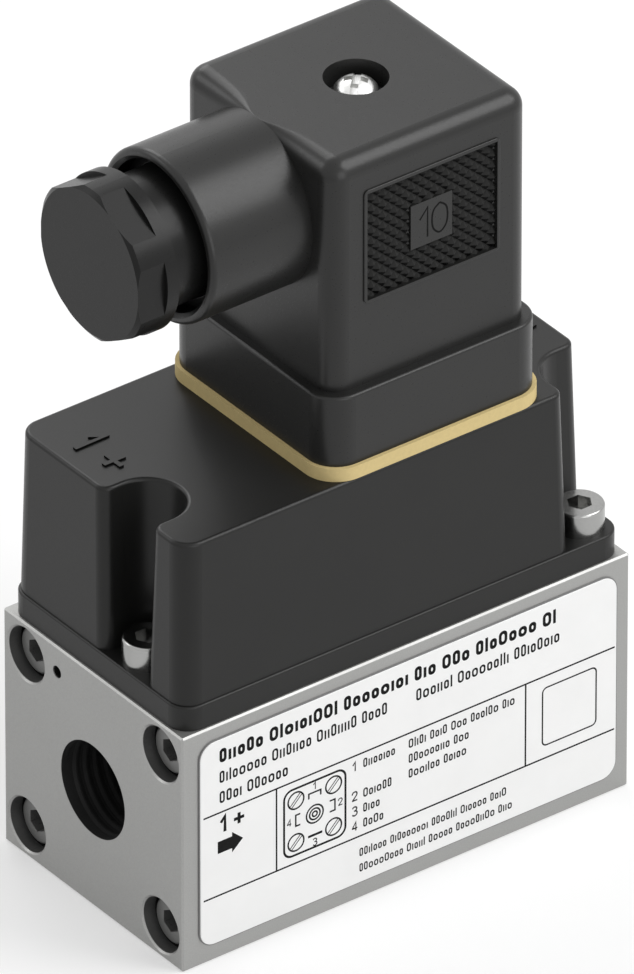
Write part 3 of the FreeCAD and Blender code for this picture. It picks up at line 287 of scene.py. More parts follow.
@dataclass(frozen=True)
class BlastedMetal:
    """Machined metal that was bead blasted and clear coated."""

    slot: str
    colour: Colour
    roughness: float = 0.42
    grain: float = 0.16 * MM
    height: float = 0.006 * MM
    cloud: float = 14.0 * MM
    mottle: float = 0.06
    metallic: float = 0.75

    def build(self) -> bpy.types.Material:
        """Make the material.

        Returns:
            The new material.
        """
        graph = Graph(self.slot)
        speck = graph.noise(self.grain, 2.0, 0.7)
        dark, light = shade(self.colour, 1 - self.mottle), shade(self.colour, 1 + self.mottle)
        graph.tints(speck, ((0.3, dark), (0.5, self.colour), (0.72, light)))
        graph.roughen(graph.noise(self.cloud, 3.0), self.roughness, 0.04, 0.05)
        graph.relief(speck, self.height)
        graph.set(Metallic=self.metallic, Specular_IOR_Level=0.5)
        return graph.material


@dataclass(frozen=True)
class TurnedMetal:
    """Bright metal with the fine marks of its tool."""

    slot: str
    colour: Colour
    roughness: float = 0.24
    stretch: tuple[float, float, float] = (1.0, 1.0, 4.0)
    mark: float = 0.4 * MM
    height: float = 0.0006 * MM

    def build(self) -> bpy.types.Material:
        """Make the material.

        Returns:
            The new material.
        """
        graph = Graph(self.slot)
        marks = graph.noise(self.mark, 3.0, 0.6, graph.stretched(self.stretch))
        graph.tints(marks, ((0.25, shade(self.colour, 0.94)), (0.7, shade(self.colour, 1.04))))
        graph.roughen(marks, self.roughness, 0.03, 0.04)
        graph.relief(marks, self.height)
        graph.set(Metallic=1.0)
        return graph.material


@dataclass(frozen=True)
class SheetRubber:
    """Cut sheet or moulded ring of rubber, with a matt dusty surface."""

    slot: str
    colour: Colour
    fleck: float = 0.5 * MM
    roughness: float = 0.75
    mottle: float = 0.13
    dust: float = 0.12 * MM
    height: float = 0.008 * MM
    specular: float = 0.3

    def build(self) -> bpy.types.Material:
        """Make the material.

        Returns:
            The new material.
        """
        graph = Graph(self.slot)
        flecks = graph.noise(self.fleck, 5.0, 0.65)
        dark, light = shade(self.colour, 1 - self.mottle), shade(self.colour, 1 + self.mottle)
        graph.tints(flecks, ((0.3, dark), (0.5, self.colour), (0.7, light)))
        graph.roughen(flecks, self.roughness, 0.08, 0.1)
        graph.relief(graph.noise(self.dust, 2.0), self.height)
        graph.set(Specular_IOR_Level=self.specular)
        return graph.material


@dataclass(frozen=True)
class Film:
    """Thin glossy film: the label, its ink, or the flat strip of the cell."""

    slot: str
    colour: Colour
    roughness: float = 0.35
    specular: float = 0.4
    cloud: float = 5.0 * MM
    mottle: float = 0.015
    grain: float = 0.4 * MM
    height: float = 0.002 * MM

    def build(self) -> bpy.types.Material:
        """Make the material.

        Returns:
            The new material.
        """
        graph = Graph(self.slot)
        dark, light = shade(self.colour, 1 - self.mottle), shade(self.colour, 1 + self.mottle)
        graph.tints(graph.noise(self.cloud, 3.0), ((0.3, dark), (0.7, light)))
        fine = graph.noise(self.grain, 2.0)
        graph.roughen(fine, self.roughness, 0.04, 0.06)
        graph.relief(fine, self.height)
        graph.set(Specular_IOR_Level=self.specular)
        return graph.material


@dataclass(frozen=True)
class Ceramic:
    """Sintered white ceramic with faint pits."""

    slot: str
    colour: Colour
    pit: float = 0.3 * MM
    depth: float = 0.01 * MM

    def build(self) -> bpy.types.Material:
        """Make the material.

        Returns:
            The new material.
        """
        graph = Graph(self.slot)
        pits = graph.noise(self.pit, 6.0, 0.7)
        graph.tints(pits, ((0.28, shade(self.colour, 0.82)), (0.4, self.colour)))
        rough = graph.spread(pits, 0.6, 0.4)
        graph.join(rough, graph.shader.inputs["Roughness"])
        graph.relief(pits, self.depth)
        return graph.material


@dataclass(frozen=True)
class BoardLaminate:
    """Green solder mask over copper tracks."""

    slot: str
    mask: Colour
    track: Colour
    field: float = 3.3 * MM
    height: float = 0.02 * MM

    def build(self) -> bpy.types.Material:
        """Make the material.

        Returns:
            The new material.
        """
        graph = Graph(self.slot)
        cells = graph.add(
            "ShaderNodeTexVoronoi", feature="DISTANCE_TO_EDGE", distance="EUCLIDEAN"
        )
        cells.inputs["Scale"].default_value = 1.0 / self.field
        cells.inputs["Randomness"].default_value = 0.35
        graph.join(graph.place, cells.inputs["Vector"])
        edge = cells.outputs["Distance"]
        graph.tints(edge, ((0.05, self.track), (0.08, self.mask)))
        rough = graph.spread(edge, 0.28, 0.36, 0.04, 0.1)
        graph.join(rough, graph.shader.inputs["Roughness"])
        graph.relief(graph.spread(edge, 1.0, 0.0, 0.04, 0.08), self.height)
        return graph.material


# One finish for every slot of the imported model.
FINISHES = (
    BlastedMetal("block_metal", (0.36, 0.36, 0.352)),
    Moulding(
        "housing_plastic", (0.011, 0.011, 0.0105), roughness=0.34, specular=0.27, height=0.002 * MM
    ),
    Moulding(
        "connector_plastic",
        (0.015, 0.015, 0.0145),
        roughness=0.32,
        specular=0.34,
        height=0.0012 * MM,
    ),
    Moulding(
        "gland_plastic", (0.008, 0.008, 0.0078), roughness=0.32, specular=0.2, height=0.0012 * MM
    ),
    Moulding("carrier_plastic", (0.045, 0.045, 0.045), roughness=0.45),
    TurnedMetal("screw_steel", (0.36, 0.36, 0.353), roughness=0.2),
    TurnedMetal("contact_metal", (0.70, 0.68, 0.64), roughness=0.3, stretch=(1.0, 1.0, 0.2)),
    TurnedMetal("brass", (0.78, 0.57, 0.26), roughness=0.28),
    SheetRubber("gasket_rubber", (0.62, 0.49, 0.23), mottle=0.05),
    SheetRubber("seal_rubber", (0.018, 0.018, 0.018), fleck=0.3 * MM, roughness=0.6),
    Ceramic("cell_ceramic", (0.84, 0.82, 0.76)),
    Film("flex_film", (0.48, 0.22, 0.04), roughness=0.3),
    Moulding("socket_plastic", (0.74, 0.71, 0.62), roughness=0.5),
    BoardLaminate("board_laminate", (0.012, 0.11, 0.035), (0.05, 0.22, 0.08)),
    Moulding("chip_plastic", (0.02, 0.02, 0.022), roughness=0.55),
    TurnedMetal("can_metal", (0.74, 0.74, 0.73), roughness=0.3),
    Film("label_film", (0.88, 0.88, 0.875), specular=0.3),
)
# Finishes of single nodes and of the pieces that are added here.
NODE_LOOKS = {
    # Painted shade: a darker copy of the screw steel for the heads that sit deep in their
    # counterbores.
    "block_screws": BlastedMetal(
        "sunk_screw_steel_shade", (0.2, 0.2, 0.196), roughness=0.4, height=0.002 * MM
    ),
    # Painted light: a brighter copy of the screw steel, so the retaining screw's dome shows light
    # where it reflects the dark well.
    "retaining_screw": TurnedMetal("retainer_steel_painted_light", (0.78, 0.78, 0.77), roughness=0.3),
}
INK = Film("label_ink", (0.004, 0.004, 0.004), roughness=0.55, specular=0.1)
# Painted shade: dark grey for the thin ring round the label, which stands in for the shadow at the
# film's edge.
LABEL_EDGE_SHADE = Film("label_edge_shade", (0.2, 0.2, 0.2), roughness=0.5, specular=0.2)
# Near-black painted shade: the raised port signs' flanks, the badge number's strokes, the grip
# teeth's undersides and the barrel mouth's wall.
PAINTED_SHADE = Moulding("sign_shade", (0.002, 0.002, 0.002), roughness=0.6, specular=0.1)
# Painted shade: near-black metal for the port's threaded wall, which stands in for the dark deep
# inside the bore.
THREAD_SHADE = BlastedMetal("thread_metal", (0.028, 0.028, 0.028), roughness=0.6)
# Painted shade: a darker copy of the block's metal for the counterbores' walls, as they look in
# shade.
BORE_METAL_SHADE = BlastedMetal("bore_metal_shade", (0.14, 0.14, 0.138), roughness=0.45)
SEAT_SHADE = Moulding("seat_shade", (0.01, 0.01, 0.01), roughness=0.6, specular=0.1)
# Painted shade: a flat grey, darker than the screw heads, for the walls and floor of the hex
# sockets in place of their real shading.
SOCKET_SHADE = Moulding(
    "socket_metal_shade", (0.11, 0.11, 0.108), roughness=0.3, specular=0.5, height=0.001 * MM
)
TOOTH = Moulding("tooth_plastic", (0.022, 0.022, 0.0215), roughness=0.6, specular=0.1)


def dress_nodes(
    nodes: dict[str, bpy.types.Object], looks: dict[str, bpy.types.Material]
) -> None:
    """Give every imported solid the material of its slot.

    Args:
        nodes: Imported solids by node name.
        looks: Materials by slot name.
    """
    own = {name: finish.build() for name, finish in NODE_LOOKS.items()}
    for name in sorted(nodes):
        for place in nodes[name].material_slots:
            slot = place.material.name.split(".")[0]
            place.material = own.get(name, looks[slot])
        LOG.info("dressed %s, %d faces", name, len(nodes[name].data.polygons))


def add_piece(
    name: str, shape: bmesh.types.BMesh, look: bpy.types.Material, body: Body
) -> bpy.types.Object:
    """Turn a finished shape into a piece that rides on a body.

    Args:
        name: Name of the piece.
        shape: Its geometry in the row frame; it is freed.
        look: Its material.
        body: The body that it moves with.

    Returns:
        The new object.
    """
    bmesh.ops.recalc_face_normals(shape, faces=shape.faces)
    mesh = bpy.data.meshes.new(name)
    shape.to_mesh(mesh)
    shape.free()
    mesh.materials.append(look)
    piece = bpy.data.objects.new(name, mesh)
    bpy.context.scene.collection.objects.link(piece)
    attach(piece, body.value)
    LOG.info("piece %s, %d faces on %s", name, len(mesh.polygons), body.value)
    return piece


def skin(
    shape: bmesh.types.BMesh, rings: Sequence[list[bmesh.types.BMVert]], closed: bool
) -> None:
    """Join neighbouring loops of corners with four-sided faces.

    Args:
        shape: The geometry to add to.
        rings: Closed loops with the same number of corners.
        closed: Whether the last loop is joined to the first.
    """
    follow = list(rings[1:]) + ([rings[0]] if closed else [])
    for first, second in zip(rings, follow):
        for i in range(len(first)):
            j = (i + 1) % len(first)
            shape.faces.new((first[i], first[j], second[j], second[i]))


def smooth(points: Sequence[Point2], steps: int = 5) -> list[Point2]:
    """Give the points of a smooth curve that runs through the given ones.

    Args:
        points: Points to pass, in order.
        steps: Parts between two of them.

    Returns:
        The curve's points, both ends included.
    """
    curve = []
    for i in range(len(points) - 1):
        after = points[min(i + 2, len(points) - 1)]
        near = (points[max(i - 1, 0)], points[i], points[i + 1], after)
        for step in range(steps):
            t = step / steps
            weights = (
                (-t + 2 * t**2 - t**3) / 2,
                (2 - 5 * t**2 + 3 * t**3) / 2,
                (t + 4 * t**2 - 3 * t**3) / 2,
                (t**3 - t**2) / 2,
            )
            x = sum(weight * point[0] for weight, point in zip(weights, near))
            z = sum(weight * point[1] for weight, point in zip(weights, near))
            curve.append((x, z))
    curve.append(points[-1])
    return curve


@dataclass(frozen=True)
class RoundBox:
    """Upright rectangle with round corners on a flat face, in millimetres."""

    x0: float
    x1: float
    z0: float
    z1: float
    corner: float
    steps: int = 8

    def outline(self, inset: float = 0.0, share: float = 1.0) -> list[Point2]:
        """Give its outline, moved inwards, counter-clockwise.

        Args:
            inset: How far every side moves inwards.
            share: Part of the inset that comes off the corners' radius.

        Returns:
            The outline's points.
        """
        x0, x1, z0, z1 = self.x0 + inset, self.x1 - inset, self.z0 + inset, self.z1 - inset
        radius = self.corner - inset * share
        centres = (
            (x1 - radius, z1 - radius),
            (x0 + radius, z1 - radius),
            (x0 + radius, z0 + radius),
            (x1 - radius, z0 + radius),
        )
        points = []
        for quarter, (x, z) in enumerate(centres):
            for step in range(self.steps + 1):
                angle = math.pi / 2 * (quarter + step / self.steps)
                points.append((x + radius * math.cos(angle), z + radius * math.sin(angle)))
        return points


class Ink:
    """Flat closed shapes of even thickness on one plane: print or signs."""

    def __init__(self, right: Way, up: Way, back: float, front: float) -> None:
        """Start an empty plane that faces along right x up.

        Args:
            right: Reading direction.
            up: Direction in which the signs stand.
            back: Distance of the hidden side from the origin, in millimetres.
            front: Distance of the visible side.
        """
        self.shape = bmesh.new()
        self.right, self.up = Vector(right), Vector(up)
        self.out = self.right.cross(self.up)
        self.back = back
        self.front = front

    def loop(self, outline: Sequence[Point2], level: float) -> list[bmesh.types.BMVert]:
        """Add one loop of corners.

        Args:
            outline: Its points on the plane.
            level: Its distance from the origin.

        Returns:
            The new corners.
        """
        base = self.out * level
        places = [(base + self.right * x + self.up * z) * MM for x, z in outline]
        return [self.shape.verts.new(place) for place in places]

    def patch(self, outline: Sequence[Point2], lift: float = 0.0) -> None:
        """Print a filled outline.

        Args:
            outline: Its points.
            lift: How much higher than the rest it lies, where it crosses another.
        """
        front = self.loop(outline, self.front + lift)
        back = self.loop(outline, self.back)
        self.shape.faces.new(front)
        self.shape.faces.new(list(reversed(back)))
        skin(self.shape, (front, back), False)

    def bar(self, x0: float, x1: float, z0: float, z1: float) -> None:
        """Print a rectangle."""
        self.patch(((x0, z0), (x1, z0), (x1, z1), (x0, z1)))

    def border(self, outer: Sequence[Point2], inner: Sequence[Point2]) -> None:
        """Print the strip between two outlines.

        Args:
            outer: The outer outline.
            inner: The inner one, with the same number of points.
        """
        edges = (
            (outer, self.front),
            (inner, self.front),
            (inner, self.back),
            (outer, self.back),
        )
        skin(self.shape, [self.loop(outline, level) for outline, level in edges], True)

    def circle(self, x: float, z: float, radius: float, width: float, steps: int = 36) -> None:
        """Print a ring.

        Args:
            x: Its centre along the reading direction.
            z: Its centre upwards.
            radius: Radius of the middle of its line.
            width: Width of the line.
            steps: Sides of the round.
        """
        turns = [2 * math.pi * step / steps for step in range(steps)]
        rims = []
        for edge in (radius + width / 2, radius - width / 2):
            rims.append([(x + edge * math.cos(turn), z + edge * math.sin(turn)) for turn in turns])
        self.border(rims[0], rims[1])

    def stroke(self, points: Sequence[Point2], width: float, lift: float = 0.0) -> None:
        """Print a line of even width.

        Args:
            points: Points along its middle.
            width: Its width.
            lift: How much higher than the rest it lies, where it crosses another.
        """
        left, right = [], []
        for i, (x, z) in enumerate(points):
            before = points[max(i - 1, 0)]
            after = points[min(i + 1, len(points) - 1)]
            way_in = Vector((x - before[0], z - before[1]))
            way_out = Vector((after[0] - x, after[1] - z))
            way_in = way_in.normalized() if way_in.length > 0 else way_out.normalized()
            way_out = way_out.normalized() if way_out.length > 0 else way_in
            mean = (way_in + way_out).normalized()
            side = Vector((-mean.y, mean.x))
            lean = side.dot(Vector((-way_in.y, way_in.x)))
            reach = width / 2 / max(lean, MITRE_LIMIT)
            left.append((x + side.x * reach, z + side.y * reach))
            right.append((x - side.x * reach, z - side.y * reach))
        for i in range(len(points) - 1):
            self.patch((left[i], right[i], right[i + 1], left[i + 1]), lift)

    def sign(self, sign: str, x: float, base: float, cap: float, width: float) -> None:
        """Draw one numeral, plus or minus.

        Args:
            sign: The numeral or sign.
            x: Its left edge.
            base: Its base line.
            cap: Its height.
            width: Width of its lines.
        """
        for order, line in enumerate(NUMERALS[sign]):
            path = smooth(line) if len(line) > STRAIGHT_POINTS else line
            points = [(x + px * cap, base + pz * cap) for px, pz in path]
            self.stroke(points, width, order * CROSSING_LIFT)


# Lines of each numeral and sign, as shares of its height.
NUMERALS: dict[str, tuple[tuple[Point2, ...], ...]] = {
    "0": (
        (
            (0.28, 1.0),
            (0.06, 0.82),
            (0.0, 0.5),
            (0.06, 0.18),
            (0.28, 0.0),
            (0.5, 0.18),
            (0.56, 0.5),
            (0.5, 0.82),
            (0.28, 1.0),
        ),
    ),
    "1": (((0.08, 0.66), (0.36, 1.0), (0.36, 0.0)),),
    "2": (
        (
            (0.02, 0.72),
            (0.06, 0.88),
            (0.2, 0.99),
            (0.4, 0.99),
            (0.54, 0.88),
            (0.56, 0.7),
            (0.46, 0.52),
            (0.03, 0.05),
        ),
        ((0.0, 0.05), (0.6, 0.05)),
    ),
    "3": (
        (
            (0.04, 0.84),
            (0.18, 0.98),
            (0.38, 0.98),
            (0.52, 0.86),
            (0.52, 0.67),
            (0.38, 0.55),
            (0.22, 0.54),
        ),
        (
            (0.22, 0.54),
            (0.4, 0.52),
            (0.56, 0.4),
            (0.57, 0.2),
            (0.42, 0.04),
            (0.2, 0.02),
            (0.03, 0.16),
        ),
    ),
    "4": (((0.44, 0.0), (0.44, 0.96), (0.02, 0.28)), ((0.0, 0.28), (0.6, 0.28))),
    "+": (((0.0, 0.5), (0.7, 0.5)), ((0.35, 0.15), (0.35, 0.85))),
    "-": (((0.0, 0.5), (0.6, 0.5)),),
}


class Weight(Enum):
    """Weights of the label's print: line and letter width as shares of the height."""

    PLAIN = (0.145, 0.46)
    BOLD = (0.205, 0.56)

    @property
    def line(self) -> float:
        """Width of a line."""
        return self.value[0]

    @property
    def letter(self) -> float:
        """Width of a letter."""
        return self.value[1]


@dataclass(frozen=True)
class Marks:
    """A line of plain rings and stems on the label that spell nothing, in millimetres."""

    start: float
    end: float
    base: float
    cap: float
    weight: Weight = Weight.PLAIN
    seed: int = 7
    first_group: tuple[int, int] = (4, 9)
    group: tuple[int, int] = (3, 9)
    group_gap: float = 0.36
    gap: float = 0.15
    low: float = 0.74
    tall_chance: float = 0.2
    stem_chance: float = 0.3
    widths: tuple[float, ...] = (0.95, 1.0, 1.15)
    bend: float = 0.45
    inner_bend: float = 0.6
    bend_steps: int = 4

    def draw(self, ink: Ink) -> None:
        """Print the line in groups of uneven length.

        Args:
            ink: The print.
        """
        # The seed follows from the line's place, so that each line has its own marks.
        chance = random.Random(self.seed + int(100 * (self.start + self.base)))
        line, letter = self.weight.line * self.cap, self.weight.letter * self.cap
        mark, left, first = self.start, chance.randint(*self.first_group), True
        while mark + letter < self.end:
            if left == 0:
                mark += self.cap * self.group_gap
                left, first = chance.randint(*self.group), True
                continue
            tall = first or chance.random() < self.tall_chance
            top = self.base + (self.cap if tall else self.cap * self.low)
            if not first and chance.random() < self.stem_chance:
                ink.bar(mark, mark + line, self.base, top)
                mark += line
            else:
                width = letter * chance.choice(self.widths)
                bend = min(width, top - self.base) * self.bend
                ring = RoundBox(mark, mark + width, self.base, top, bend, self.bend_steps)
                ink.border(ring.outline(), ring.outline(line, self.inner_bend))
                mark += width
            mark += self.cap * self.gap
            left -= 1
            first = False


@dataclass(frozen=True)
class Sign:
    """One numeral or sign on the label, in millimetres."""

    sign: str
    x: float
    base: float
    cap: float
    weight: Weight = Weight.PLAIN

    def draw(self, ink: Ink) -> None:
        """Print the sign."""
        ink.sign(self.sign, self.x, self.base, self.cap, self.weight.line * self.cap)


@dataclass(frozen=True)
class Rules:
    """Long and upright rules of the label, and the empty frame at its right."""

    line: float = 0.2
    left: float = -27.35
    right: float = 27.9
    low: float = 8.25
    high: float = 18.85
    uprights: Point2 = (-17.62, 15.86)
    frame: RoundBox = RoundBox(18.06, 25.5, 9.8, 17.4, 0.7)
    frame_line: float = 0.18

    def draw(self, ink: Ink) -> None:
        """Print the rules and the frame.

        Args:
            ink: The print.
        """
        half = self.line / 2
        for z in (self.low, self.high):
            ink.bar(self.left, self.right, z - half, z + half)
        for x in self.uprights:
            ink.bar(x - half, x + half, self.low + half, self.high - half)
        ink.border(self.frame.outline(), self.frame.outline(self.frame_line))


@dataclass(frozen=True)
class Arrow:
    """Arrow that marks the way in."""

    left: float = -25.46
    right: float = -22.1
    middle: float = 14.4
    tail: float = 0.76
    head: float = 1.3
    point: float = 1.45

    def draw(self, ink: Ink) -> None:
        """Print the arrow.

        Args:
            ink: The print.
        """
        neck, z = self.right - self.point, self.middle
        ink.patch(
            (
                (self.left, z - self.tail),
                (neck, z - self.tail),
                (neck, z - self.head),
                (self.right, z),
                (neck, z + self.head),
                (neck, z + self.tail),
                (self.left, z + self.tail),
            )
        )


@dataclass(frozen=True)
class PlugDiagram:
    """Face of the plug: screws, contact slots, centre and contact numbers."""

    box: RoundBox = RoundBox(-16.74, -8.26, 9.18, 17.98, 1.2)
    box_line: float = 0.26
    line: float = 0.2
    screw_columns: Point2 = (-15.02, -9.98)
    screw_rows: Point2 = (16.3, 10.9)
    screw: float = 1.05
    slot_half: float = 0.16
    slot_reach: float = 0.92
    slot_line: float = 0.11
    centre: Point2 = (-12.5, 13.58)
    rings: tuple[float, ...] = (1.12, 0.7, 0.32)
    clips: tuple[tuple[Point2, ...], ...] = (
        ((-14.45, 14.4), (-15.05, 14.4), (-15.05, 13.0), (-14.45, 13.0)),
        ((-10.5, 14.4), (-9.8, 14.4), (-9.8, 13.0), (-10.5, 13.0)),
        ((-13.3, 15.75), (-13.3, 16.4), (-11.7, 16.4), (-11.7, 15.75)),
    )
    blade: tuple[Point2, ...] = ((-13.4, 10.9), (-11.5, 10.9))
    blade_line: float = 0.3
    numbers: tuple[Sign, ...] = (
        Sign("1", -12.75, 16.75, 0.9),
        Sign("2", -9.35, 13.3, 0.9),
        Sign("3", -12.75, 9.5, 0.9),
        Sign("4", -16.2, 13.3, 0.9),
    )

    def draw(self, ink: Ink) -> None:
        """Print the diagram.

        Args:
            ink: The print.
        """
        ink.border(self.box.outline(), self.box.outline(self.box_line))
        for x in self.screw_columns:
            for z in self.screw_rows:
                self._screw(ink, x, z)
        for radius in self.rings:
            ink.circle(*self.centre, radius, self.line)
        for clip in self.clips:
            ink.stroke(clip, self.line)
        ink.stroke(self.blade, self.blade_line)
        for number in self.numbers:
            number.draw(ink)

    def _screw(self, ink: Ink, x: float, z: float) -> None:
        """Print a screw head with a slanted slot.

        Args:
            ink: The print.
            x: Its centre along the reading direction.
            z: Its centre upwards.
        """
        ink.circle(x, z, self.screw, self.line)
        half, reach = self.slot_half * math.sqrt(0.5), self.slot_reach * math.sqrt(0.5)
        for side in (-half, half):
            start = (x - reach + side, z - reach - side)
            end = (x + reach + side, z + reach - side)
            ink.stroke((start, end), self.slot_line)


LABEL_PRINT = (
    Rules(),
    Marks(-25.2, 21.1, 25.2, 1.76, Weight.BOLD),
    Marks(-25.2, -2.8, 22.6, 1.5),
    Marks(1.1, 21.2, 22.6, 1.5),
    Marks(-25.2, -15.6, 20.0, 1.5),
    Sign("1", -25.2, 16.2, 1.95, Weight.BOLD),
    Sign("+", -23.3, 16.2, 1.95, Weight.BOLD),
    Sign("1", -7.5, 16.9, 1.15),
    Marks(-6.0, -1.7, 16.9, 1.15),
    Sign("2", -7.5, 13.06, 1.15),
    Marks(-6.0, -1.7, 13.06, 1.15),
    Sign("3", -7.5, 11.14, 1.15),
    Marks(-6.0, -2.8, 11.14, 1.15),
    Sign("4", -7.5, 9.2, 1.15),
    Marks(-6.0, -3.2, 9.2, 1.15),
    Marks(0.1, 15.0, 16.9, 1.15),
    Marks(0.1, 8.3, 14.98, 1.15),
    Marks(0.1, 8.0, 13.06, 1.15),
    Marks(-6.5, 13.4, 5.6, 1.05),
    Marks(-6.5, 14.4, 3.6, 1.05),
    Arrow(),
    PlugDiagram(),
)


@dataclass
class RatingLabel:
    """White film on the block's front, with a dark ring of painted shade round its edge, and its
    generic print.
    """

    box: RoundBox = RoundBox(-27.75, 28.15, 2.25, 28.15, 1.9)
    carrier_y: float = -16.0
    film: float = 0.235
    bevel: float = 0.04
    ink: float = 0.013
    ink_sunk: float = 0.01
    edge: float = 0.13
    edge_lap: float = 0.01
    edge_sunk: float = 0.05
    edge_drop: float = 0.1

    @property
    def face_y(self) -> float:
        """Y of the film's printed side, in millimetres."""
        return self.carrier_y - self.film

    def build(self, looks: dict[str, bpy.types.Material]) -> None:
        """Make the film, the painted shade round its edge and its print.

        Args:
            looks: Materials by slot name.
        """
        film = self._film()
        piece = add_piece("label_sheet", film, looks["label_film"], Body.TRANSMITTER)
        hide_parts("rating_label")
        # The ring round the film is painted shade, which stands in for the shadow at its edge.
        back, front = -self.carrier_y - self.edge_sunk, -self.face_y - self.edge_drop
        rim = Ink(RIGHTWARD, UPWARD, back, front)
        rim.border(self.box.outline(-self.edge), self.box.outline(self.edge_lap))
        add_piece("label_edge_shade", rim.shape, LABEL_EDGE_SHADE.build(), Body.TRANSMITTER)
        ink = Ink(RIGHTWARD, UPWARD, -self.face_y - self.ink_sunk, -self.face_y + self.ink)
        for item in LABEL_PRINT:
            item.draw(ink)
        add_piece("label_print", ink.shape, INK.build(), Body.TRANSMITTER)

    def _film(self) -> bmesh.types.BMesh:
        """Make the film with its front edge broken.

        Returns:
            The film's shape.
        """
        shape = bmesh.new()
        loops = []
        for inset, y in (
            (0, self.carrier_y),
            (0, self.face_y + self.bevel),
            (self.bevel, self.face_y),
        ):
            outline = self.box.outline(inset)
            loops.append([shape.verts.new((x * MM, y * MM, z * MM)) for x, z in outline])
        skin(shape, loops, False)
        shape.faces.new(loops[0])
        shape.faces.new(list(reversed(loops[-1])))
        return shape


@dataclass
class PortSigns:
    """Numbers and signs of the two ports, raised on both ends of the housing's roof."""

    roof: float = 53.2
    rise: float = 0.22
    sunk: float = 0.05
    skin: float = 0.03
    cap: float = 3.96
    stroke: float = 0.58
    narrowing: float = 0.02
    left_foot: float = -26.6
    right_foot: float = 27.3
    left_start: float = -9.0
    right_start: float = -2.8
    gap: float = 4.4

    def build(self, looks: dict[str, bpy.types.Material]) -> None:
        """Make the signs' flanks, dark with painted shade, and their tops.

        Args:
            looks: Materials by slot name.
        """
        top = self.roof + self.rise
        seam = top - self.skin
        narrow = self.stroke - self.narrowing
        # The flanks carry painted shade: near black, as the raised signs' walls look in shade; the
        # tops keep the housing's plastic.
        for name, back, front, width, look in (
            ("port_sign_shade_flanks", self.roof - self.sunk, seam, self.stroke, PAINTED_SHADE.build()),
            ("port_sign_tops", seam, top, narrow, looks["housing_plastic"]),
        ):
            left = Ink(FORWARD, RIGHTWARD, back, front)
            self._row(left, "1+", self.left_start, self.left_foot, width)
            right = Ink(BACKWARD, LEFTWARD, back, front)
            self._row(right, "2-", self.right_start, -self.right_foot, width)
            add_piece(f"{name}_left", left.shape, look, Body.TRANSMITTER)
            add_piece(f"{name}_right", right.shape, look, Body.TRANSMITTER)

    def _row(self, ink: Ink, signs: str, start: float, foot: float, width: float) -> None:
        """Draw a number and the sign that follows it."""
        ink.sign(signs[0], start, foot, self.cap, width)
        ink.sign(signs[1], start + self.gap, foot, self.cap, width)


@dataclass
class BadgeNumber:
    """Plain number on the bare field of both grip panels, drawn as near-black strokes of painted
    shade in place of the shade inside engraved grooves.
    """

    face: float = 13.3
    cap: float = 3.7
    stroke: float = 0.22
    sunk: float = 0.05
    proud: float = 0.012
    signs: tuple[tuple[str, float], ...] = (("1", -0.5), ("0", 0.02))

    def build(self) -> None:
        """Make the number on the front and on the back panel."""
        # Painted shade: the strokes lie flush and near black, as engraved grooves look in shade.
        look = PAINTED_SHADE.build()
        base = PANEL_Z - self.cap / 2
        for place, right, along in BROAD_FACES:
            ink = Ink(right, UPWARD, self.face - self.sunk, self.face + self.proud)
            for sign, shift in self.signs:
                ink.sign(sign, along * PANEL_X + shift * self.cap, base, self.cap, self.stroke)
            name = f"badge_number_{place}"
            add_piece(name, ink.shape, look, Body.CONNECTOR)


@dataclass
class GripTeeth:
    """Matt skins on the pointed teeth of both grip panels, with painted shade on the undersides.
    """

    floor: float = 12.8
    height: float = 0.5
    half_length: float = 8.65
    half_height: float = 6.7
    pitch_x: float = 1.53
    pitch_z: float = 1.38
    badge: float = 2.75
    overlap: float = 0.35
    sunk: float = 0.02
    proud: float = 0.01

    def build(self) -> None:
        """Make the upper and the lower flanks in both panels."""
        # The flanks that face down carry painted shade: near black, as they look in shade.
        halves = (("flanks", 1, TOOTH.build()), ("undersides", -1, PAINTED_SHADE.build()))
        for place, right, along in BROAD_FACES:
            for kind, rise, look in halves:
                ink = Ink(right, UPWARD, self.floor - self.sunk, self.floor + self.proud)
                for x, z in self._tips():
                    self._half_tooth(ink, along * PANEL_X + x, PANEL_Z + z, rise)
                name = f"grip_{kind}_{place}"
                add_piece(name, ink.shape, look, Body.CONNECTOR)

    def _tips(self) -> list[Point2]:
        """Give the places of the teeth.

        Returns:
            Their tips, measured from the middle of the panel.
        """
        tips = []
        columns = int(2 * (self.half_length + self.overlap) / self.pitch_x)
        rows = int(2 * (self.half_height + self.overlap) / self.pitch_z)
        for column in range(-columns, columns + 1):
            for row in range(-rows, rows + 1):
                x, z = column * self.pitch_x / 2, row * self.pitch_z / 2
                if (column + row) % 2 == 0 and max(abs(x), abs(z)) > self.badge:
                    tips.append((x, z))
        return tips

    def _half_tooth(self, ink: Ink, x: float, z: float, rise: int) -> None:
        """Add the two flanks of one tooth that face up or down, as a closed wedge.

        Args:
            ink: The panel's skin.
            x: The tooth's tip along the reading direction.
            z: Its tip upwards.
            rise: 1 for the flanks that face up, -1 for those that face down.
        """
        half_x, half_z = self.pitch_x / 2, self.pitch_z / 2
        ends = ((x - half_x, z), (x, z + rise * half_z), (x + half_x, z))
        left, outer, right = ink.loop(ends, ink.front)
        (tip,) = ink.loop(((x, z),), ink.front + self.height)
        for face in (
            (left, outer, tip),
            (outer, right, tip),
            (right, left, tip),
            (right, outer, left),
        ):
            ink.shape.faces.new(face)


@dataclass(frozen=True)
class Tube:
    """A tube in a hole, by its depths and radii in millimetres."""

    start: float
    end: float
    outer: float
    inner: float

    @property
    def profile(self) -> tuple[Point2, ...]:
        """Its section, as pairs of depth and radius."""
        start, end, outer, inner = self.start, self.end, self.outer, self.inner
        return ((start, outer), (start, inner), (end, inner), (end, outer))


